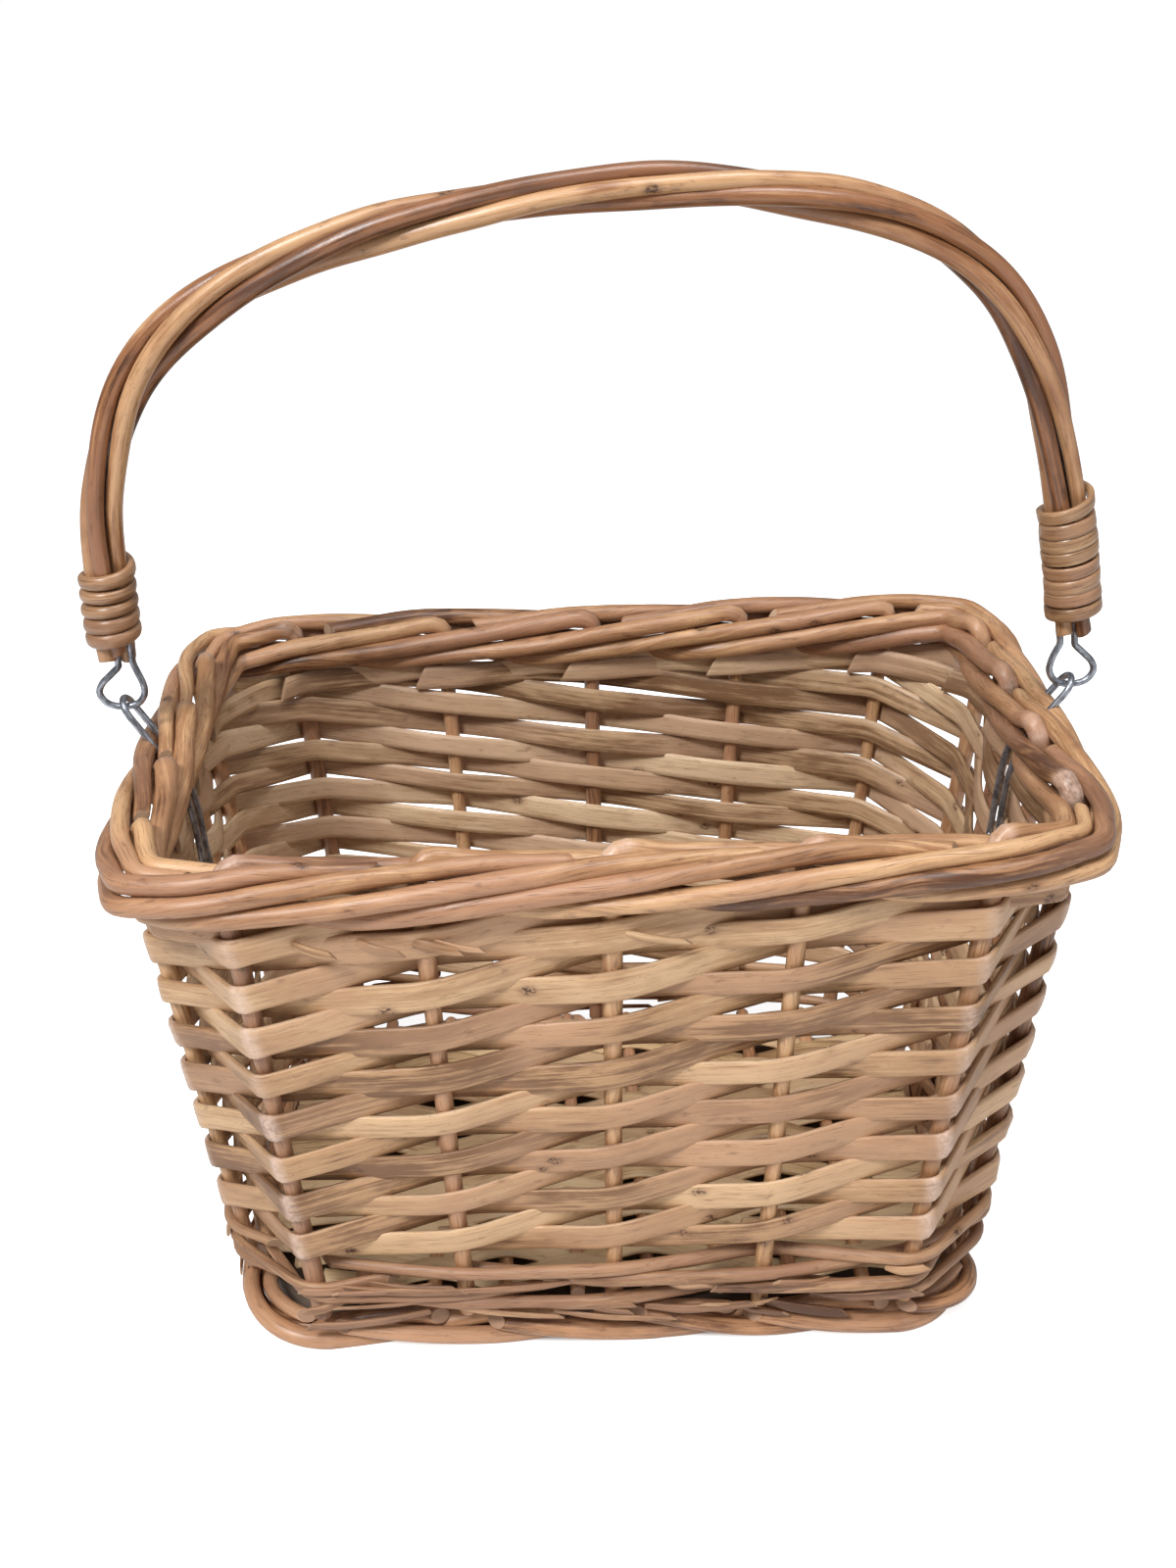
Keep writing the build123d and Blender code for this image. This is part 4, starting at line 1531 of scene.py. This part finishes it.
@dataclass
class Handle:
    """The swinging handle: four rods wound round a wire that ends in two eyes, and two cane bindings."""

    form: BasketForm
    height: float = 163.5
    rod_diameter: float = 5.6
    bundle_radius: float = 4.0
    groove_radius: float = 4.85
    twists: float = -1.75
    rod_end_height: float = 15.5
    setbacks: tuple[float, ...] = (0.0, 3.0, 1.2, 4.0)
    tones: tuple[float, ...] = (0.75, 0.1, 0.95, 0.4)
    wire_diameter: float = 2.3
    eye_radius: float = 7.4
    eye_tail: float = 24.0
    cane_width: float = 4.75
    cane_thickness: float = 2.5
    cane_pitch: float = 4.85
    binding_radius: float = 6.72
    cane_samples: int = 40
    cane_shift: float = 0.3
    loose_steps: int = 30
    loose_rise: float = 3.0
    loose_stand: float = 0.7
    left_turns: float = 5.0
    right_turns: float = 8.0
    left_start: float = 8.5
    right_start: float = 10.5
    drift: float = 17.0
    spread: float = 0.05
    spread_swing: float = 0.12
    bound_length: float = 45.0
    freed_over: float = 60.0
    spacing: float = 2.2
    core_spacing: float = 9.0
    wire_spacing: float = 1.1
    tail_steps: int = 6
    arch: tuple[tuple[float, float], ...] = (
        (-1.0, 0.25), (-0.985, 0.45), (-0.905, 0.655), (-0.745, 0.80), (-0.485, 0.91), (-0.20, 0.975),
        (0.10, 1.0), (0.40, 0.978), (0.61, 0.925), (0.77, 0.82), (0.86, 0.68), (0.92, 0.50), (0.97, 0.28),
    )
    eye_outline: tuple[tuple[float, float], ...] = (
        (0.36, 0.76), (0.86, 0.52), (1.0, 0.31), (0.70, 0.085), (0.0, 0.0),
        (-0.70, 0.085), (-1.0, 0.31), (-0.97, 0.54), (-0.80, 0.78),
    )

    def __post_init__(self) -> None:
        """Draw the arch's middle line."""
        half, base = self.form.handle_span / 2, self.form.hinge_height
        inner = [np.array([x * half, 0.0, base + z * self.height]) for x, z in self.arch]
        ends = [np.array([side * half, 0.0, base + self.rod_end_height]) for side in (-1, 1)]
        self.line = curved_line([ends[0], *inner, ends[1]], self.spacing)
        self.along = travelled(self.line)
        self.length = float(self.along[-1])
        self.forward = unit(np.gradient(self.line, axis=0))

    def point(self, distance: float, radius: float = 0.0, turn: float = 0.0) -> np.ndarray:
        """Return a place round the arch's middle line.

        Args:
            distance: the distance from the left end.
            radius: how far from the line it lies.
            turn: the turn from the arch's inner side.

        Returns:
            The point.
        """
        here = rows_at(distance, self.along, self.line)
        ahead = unit(rows_at(distance, self.along, self.forward))
        here += ahead * min(distance, 0.0) + ahead * max(distance - self.length, 0.0)
        angle = math.radians(turn)
        return here + np.cross(ahead, -BACK) * radius * math.cos(angle) + BACK * (radius * math.sin(angle))

    def twist(self, distance: float) -> float:
        """Return how far the rods have wound at a distance from the left end."""
        return 360 * self.twists * distance / self.length

    def rod(self, number: int) -> Strand:
        """Return one of the four rods.

        Args:
            number: its number from 0.

        Returns:
            The rod.
        """
        setback, seed = self.setbacks[number], Seed.ROD + number
        distances = np.arange(setback, self.length - setback, self.spacing)
        from_end = np.minimum(distances, self.length - distances)
        free = smoothstep((from_end - self.bound_length) / self.freed_over)
        drift = self.drift * Waves(seed, (260.0, 120.0)).at(distances, Channel.WIDTH)
        loosened = self.spread + self.spread_swing * Waves(seed).at(distances, Channel.THICKNESS)
        spread = 1 + loosened * free
        line = np.array([self.point(d, self.bundle_radius * s, 90 * (number + 0.5) + self.twist(d) + w)
                         for d, s, w in zip(distances, spread, drift)])
        return Strand(line, self.rod_diameter, self.rod_diameter, seed, side=BACK,
                      taper=(0.98, 1.06, 1.0, 1.05, 0.95), uneven=0.08, slants=(1.5, 1.5),
                      slant_turn=90.0 * number, tone=self.tones[number])

    def tail(self, end_distance: float, direction: int) -> list[np.ndarray]:
        """Return the wire's end, laid in the groove between two rods.

        Args:
            end_distance: the distance of the rods' cut ends along the arch.
            direction: 1 from the left end, or -1 from the right end.

        Returns:
            Its points from the eye upwards.
        """
        start = self.twist(end_distance)
        distances = [end_distance + direction * self.eye_tail * step / self.tail_steps
                     for step in range(self.tail_steps + 1)]
        return [self.point(d, self.groove_radius, self.twist(d) - start) for d in distances]

    def eye(self, side: int) -> list[np.ndarray]:
        """Return one eye.

        Args:
            side: -1 for the left one and 1 for the right one.

        Returns:
            Its points, from the core wire's exit to the foot of its tail.
        """
        half, base = self.form.handle_span / 2, self.form.hinge_height
        places = [(0.0, self.rod_end_height - 1.0)]
        places += [(self.eye_radius * x, self.rod_end_height * z) for x, z in self.eye_outline]
        return [np.array([side * (half + x), 0.0, base + z]) for x, z in places]

    def wire(self) -> Strand:
        """Return the core wire with its eyes and tails.

        Returns:
            The wire from one tail's end to the other's.
        """
        core = [self.point(d) for d in np.arange(0, self.length, self.core_spacing)]
        core.append(self.point(self.length))
        left = self.tail(0, 1)[::-1] + self.eye(-1)[::-1]
        right = self.eye(1) + self.tail(self.length, -1)
        line = curved_line(left + core + right, self.wire_spacing)
        return Strand(line, self.wire_diameter, self.wire_diameter, Seed.WIRE, side=BACK, uneven=0.0)

    def binding(self, end_distance: float, direction: int, start: float, turns: float, seed: int) -> Strand:
        """Return one cane binding.

        Args:
            end_distance: the distance of the rods' cut ends along the arch.
            direction: 1 if the winding climbs from the left end, or -1 from the right end.
            start: the first turn's distance from the rods' ends.
            turns: its number of turns.
            seed: its seed.

        Returns:
            The wound cane.
        """
        steps = int(turns * self.cane_samples)
        cane_length = np.arange(steps + 1) * math.tau * self.binding_radius / self.cane_samples
        shift = self.cane_shift * Waves(seed, (150.0, 61.0)).at(cane_length, Channel.CANE_PLACE)
        points, sides = [], []
        for step in range(steps + 1):
            loose = float(np.clip((step - steps + self.loose_steps) / self.loose_steps, 0, 1)) ** 2
            along = start + self.cane_pitch * step / self.cane_samples + shift[step] + self.loose_rise * loose
            turn = 90 + direction * 360 * step / self.cane_samples
            distance = end_distance + direction * along
            radius = self.binding_radius + self.cane_thickness / 2 + self.loose_stand * loose
            points.append(self.point(distance, radius, turn))
            sides.append(unit(self.point(distance + 0.5) - self.point(distance - 0.5)))
        return Strand(np.array(points), self.cane_width, self.cane_thickness, seed, Section.CANE,
                      np.array(sides), carried=False, uneven=0.11, roll=9.0, slants=(3.0, 4.0),
                      slant_turn=0.0)

    def build(self, willow: bpy.types.Material, cane: bpy.types.Material, steel: bpy.types.Material) -> None:
        """Make the handle.

        Args:
            willow: the rods' finish.
            cane: the bindings' finish.
            steel: the wire's finish.
        """
        for number in range(len(self.setbacks)):
            make_strand(f"handle_willow_{number + 1}", self.rod(number), willow, Body.HANDLE, Slot.HANDLE,
                        f"handle_rod_{number + 1}")
        make_strand("handle_core_wire", self.wire(), steel, Body.HANDLE, Slot.STEEL, "handle_wire")
        left = self.binding(0.0, 1, self.left_start, self.left_turns, Seed.CANE)
        right = self.binding(self.length, -1, self.right_start, self.right_turns, Seed.CANE + 1)
        for name, strand in (("left", left), ("right", right)):
            make_strand(f"cane_binding_{name}", strand, cane, Body.HANDLE, Slot.CANE,
                        f"handle_binding_{name}")


@dataclass
class Staples:
    """The two wire staples that carry the handle's eyes."""

    form: BasketForm
    wire_diameter: float = 2.3
    width: float = 9.0
    leg_drop: float = 45.0
    hinge_clearance: float = 0.45
    border_outer: float = 10.75
    strip_depth: float = 4.0
    strip_thickness: float = 1.8
    strip_clearance: float = 0.2
    arch_points: int = 13
    spacing: float = 1.0

    def path(self, side: int) -> list[np.ndarray]:
        """Return one staple's path.

        Args:
            side: -1 for the left one and 1 for the right one.

        Returns:
            Its points from one leg's end over the arch to the other's.
        """
        form = self.form
        middle = form.long_wall_stakes + (form.short_wall_stakes - 1) / 2 + form.stakes / 2 * (side < 0)
        gap = np.linalg.norm(form.wall_point(middle + 0.5, form.rim_height)
                             - form.wall_point(middle - 0.5, form.rim_height))
        radius, wire = self.width / 2, self.wire_diameter / 2
        lean = self.strip_depth * self.width / gap + self.strip_thickness / 2 + self.strip_clearance + wire
        top = np.array([side * form.handle_span / 2, 0.0,
                        form.hinge_height + self.wire_diameter + self.hinge_clearance])
        below = form.wall_point(middle, form.rim_height - self.border_outer + wire, -lean)
        foot = form.wall_point(middle, form.rim_height - self.leg_drop, -lean)
        down = unit(below - top)
        across = BACK * radius
        arch = [top + down * radius * (1 - math.sin(angle)) - across * math.cos(angle)
                for angle in np.linspace(0, math.pi, self.arch_points)]
        return [foot - across, below - across] + arch + [below + across, foot + across]

    def build(self, steel: bpy.types.Material) -> None:
        """Make the staples.

        Args:
            steel: the wire's finish.
        """
        form = self.form
        for side, name in ((-1, "left"), (1, "right")):
            outward = form.outward(form.long_wall_stakes + form.stakes // 2 * (side < 0))
            line = curved_line(self.path(side), self.spacing)
            strand = Strand(line, self.wire_diameter, self.wire_diameter, Seed.STAPLE + side, side=outward,
                            uneven=0.0, slants=(1.2, 1.2))
            make_strand(f"wire_staple_{name}", strand, steel, Body.BASKET, Slot.STEEL, f"staple_{name}")


@dataclass(frozen=True)
class Lamp:
    """A large round soft lamp, in metres and watts."""

    name: str
    place: tuple[float, float, float]
    target: tuple[float, float, float]
    size: float
    power: float

    def hang(self) -> None:
        """Hang the lamp where it shines on its target."""
        light = bpy.data.lights.new(self.name, "AREA")
        light.shape, light.size, light.energy = "DISK", self.size, self.power
        hung = bpy.data.objects.new(self.name, light)
        hung.location = self.place
        aim = Vector(self.target) - Vector(self.place)
        hung.rotation_euler = aim.to_track_quat("-Z", "Y").to_euler()
        bpy.context.scene.collection.objects.link(hung)


@dataclass
class Studio:
    """The floor, the light and the camera.

    The camera's place is in millimetres, while the lamps and the painted shadow under the basket are in
    metres.
    """

    camera_place: tuple[float, float, float] = (-17.7, -566.1, 452.2)
    pitch: float = 26.86
    yaw: float = 1.36
    tilt: float = -0.82
    lens: float = 42.75
    shaded: tuple[float, float] = (0.127, 0.0905)
    shaded_squareness: float = 4.5
    shaded_edge: tuple[float, float] = (0.78, 1.0)
    pale: Colour = (0.86, 0.86, 0.86)
    shade: Colour = (0.16, 0.12, 0.09)
    seen_floor: float = 0.78
    soft_light: float = 0.26
    lamps: tuple[Lamp, ...] = (
        Lamp("key", (-0.75, -1.0, 1.5), (0, 0, 0.12), 0.45, 26.0),
        Lamp("fill", (1.2, -1.1, 0.8), (0, 0, 0.12), 1.2, 3.5),
        Lamp("top", (0.2, -0.35, 1.7), (0, 0.05, 0.1), 0.6, 12.0),
    )

    def floor(self) -> None:
        """Make the pale floor, which the camera sees as white beside the basket, with a painted shadow under
        it: its own colour is dark there and it takes no white glow.
        """
        mesh = bpy.data.meshes.new("floor")
        mesh.from_pydata([(-4, -3, 0), (4, -3, 0), (4, 8, 0), (-4, 8, 0)], [], [(0, 1, 2, 3)])
        floor = bpy.data.objects.new("floor", mesh)
        bpy.context.scene.collection.objects.link(floor)
        paint, sheet, shader = new_finish("floor_paint")
        sheet.feed(shader.inputs["Roughness"], 0.9)
        sheet.feed(shader.inputs["Emission Color"], (1.0, 1.0, 1.0, 1.0))
        place = sheet.add("ShaderNodeSeparateXYZ")
        sheet.feed(place.inputs[0], sheet.add("ShaderNodeTexCoord").outputs["Object"])
        aside = []
        for axis, half in enumerate(self.shaded):
            share = sheet.math("DIVIDE", sheet.math("ABSOLUTE", place.outputs[axis]), half)
            aside.append(sheet.math("POWER", share, self.shaded_squareness))
        clear = sheet.range(sheet.plus(*aside), *self.shaded_edge)
        # Painted shadow: the floor's colour turns dark under the basket, and the white glow for the camera
        # stops there.
        sheet.feed(shader.inputs["Base Color"], sheet.mix(clear, (*self.shade, 1.0), (*self.pale, 1.0)))
        seen = sheet.times(sheet.add("ShaderNodeLightPath").outputs["Is Camera Ray"], self.seen_floor)
        sheet.feed(shader.inputs["Emission Strength"], sheet.times(seen, clear))
        mesh.materials.append(paint)

    def world(self) -> None:
        """Make the world: soft light from all sides, seen as white."""
        world = bpy.data.worlds.new("studio")
        world.use_nodes = True
        sheet = NodeSheet(world.node_tree)
        background = world.node_tree.nodes["Background"]
        sheet.feed(background.inputs["Color"], (1.0, 1.0, 1.0, 1.0))
        strength = sheet.add("ShaderNodeMapRange")
        sheet.feed(strength.inputs[0], sheet.add("ShaderNodeLightPath").outputs["Is Camera Ray"])
        sheet.feed(strength.inputs[3], self.soft_light)
        sheet.feed(strength.inputs[4], 1.0)
        sheet.feed(background.inputs["Strength"], strength.outputs[0])
        bpy.context.scene.world = world

    def camera(self) -> None:
        """Set the camera at the photograph's angle."""
        pitch, yaw, tilt = (math.radians(turn) for turn in (self.pitch, self.yaw, self.tilt))
        forward = np.array([math.sin(yaw) * math.cos(pitch), math.cos(yaw) * math.cos(pitch),
                            -math.sin(pitch)])
        right = np.array([math.cos(yaw), -math.sin(yaw), 0.0])
        up = np.cross(right, forward)
        across = math.cos(tilt) * right + math.sin(tilt) * up
        upward = -math.sin(tilt) * right + math.cos(tilt) * up
        data = bpy.data.cameras.new("camera")
        data.sensor_width, data.sensor_fit, data.lens = 36.0, "AUTO", self.lens
        data.clip_start, data.clip_end = 0.01, 50.0
        camera = bpy.data.objects.new("camera", data)
        turn = Matrix((across, upward, -forward)).transposed().to_4x4()
        camera.matrix_world = Matrix.Translation(Vector(self.camera_place) * MILLIMETRE) @ turn
        bpy.context.scene.collection.objects.link(camera)
        bpy.context.scene.camera = camera

    def build(self) -> None:
        """Set up the studio."""
        self.floor()
        self.world()
        for lamp in self.lamps:
            lamp.hang()
        self.camera()
        bpy.context.scene.view_settings.view_transform = "Standard"


class Finishes:
    """All the materials of the basket."""

    BORDER = WillowFinish(
        "border_willow_finish", (0.62, 0.37, 0.19), (0.375, 0.187, 0.086), (0.10, 0.037, 0.015),
        blush=(0.45, 0.235, 0.135), roughness=0.42, polish=0.15, fibre=0.85)
    SPLIT = WillowFinish(
        # The split willow's inner colour greys its pith side and also lightens it: partly the real pith
        # colour, partly a painted lightening against the shade inside the basket.
        "split_willow_finish", (0.66, 0.43, 0.24), (0.475, 0.275, 0.137), (0.19, 0.088, 0.036),
        blush=(0.51, 0.29, 0.165), cut=(0.42, 0.27, 0.16), inner=(1.08, 1.22, 1.40), roughness=0.46,
        fibre=0.75)
    WALE = WillowFinish(
        "wale_willow_finish", (0.50, 0.295, 0.16), (0.29, 0.148, 0.075), (0.085, 0.035, 0.016),
        blush=(0.34, 0.175, 0.10), cut=(0.40, 0.25, 0.15), fibre=0.8)
    BASE = WillowFinish(
        "base_split_finish", (0.76, 0.57, 0.34), (0.62, 0.43, 0.23), (0.30, 0.17, 0.08),
        blush=(0.64, 0.45, 0.27), fibre=0.7)
    FOOT = WillowFinish(
        "foot_willow_finish", (0.71, 0.425, 0.23), (0.50, 0.255, 0.125), (0.15, 0.06, 0.025),
        blush=(0.52, 0.285, 0.165), cut=(0.46, 0.28, 0.18), roughness=0.40, polish=0.2, fibre=0.7)
    HANDLE = WillowFinish(
        "handle_willow_finish", (0.56, 0.32, 0.16), (0.28, 0.115, 0.045), (0.06, 0.02, 0.008),
        blush=(0.30, 0.13, 0.062), roughness=0.32, polish=0.4, fibre=0.5)
    CANE = WillowFinish(
        "binding_cane_finish", (0.70, 0.47, 0.27), (0.37, 0.205, 0.10), (0.12, 0.05, 0.02),
        blush=(0.40, 0.21, 0.115), roughness=0.32, polish=0.5, fibre=1.2, knots=0.3)
    STEEL = SteelFinish("steel_wire_finish")

    def __init__(self) -> None:
        """Build the shared group and the materials."""
        grain = WillowGrain()
        self.border, self.split, self.wale, self.base, self.foot, self.handle, self.cane = (
            finish.material(grain)
            for finish in (self.BORDER, self.SPLIT, self.WALE, self.BASE, self.FOOT, self.HANDLE, self.CANE)
        )
        self.steel = self.STEEL.material()


def main() -> None:
    """Build the basket, the studio and the camera."""
    logging.basicConfig(level=logging.INFO, format="%(message)s")
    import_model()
    finishes = Finishes()
    form = BasketForm()
    StakesAndRim(form).build(finishes.border)
    RandWeave(form).build(finishes.split)
    Wale(form).build(finishes.wale)
    LooseFibres(form).build(finishes.wale, finishes.split)
    FootBorder(form).build(finishes.foot)
    Base(form).build(finishes.foot, finishes.base)
    Handle(form).build(finishes.handle, finishes.cane, finishes.steel)
    Staples(form).build(finishes.steel)
    Studio().build()


if __name__ == "__main__":
    main()
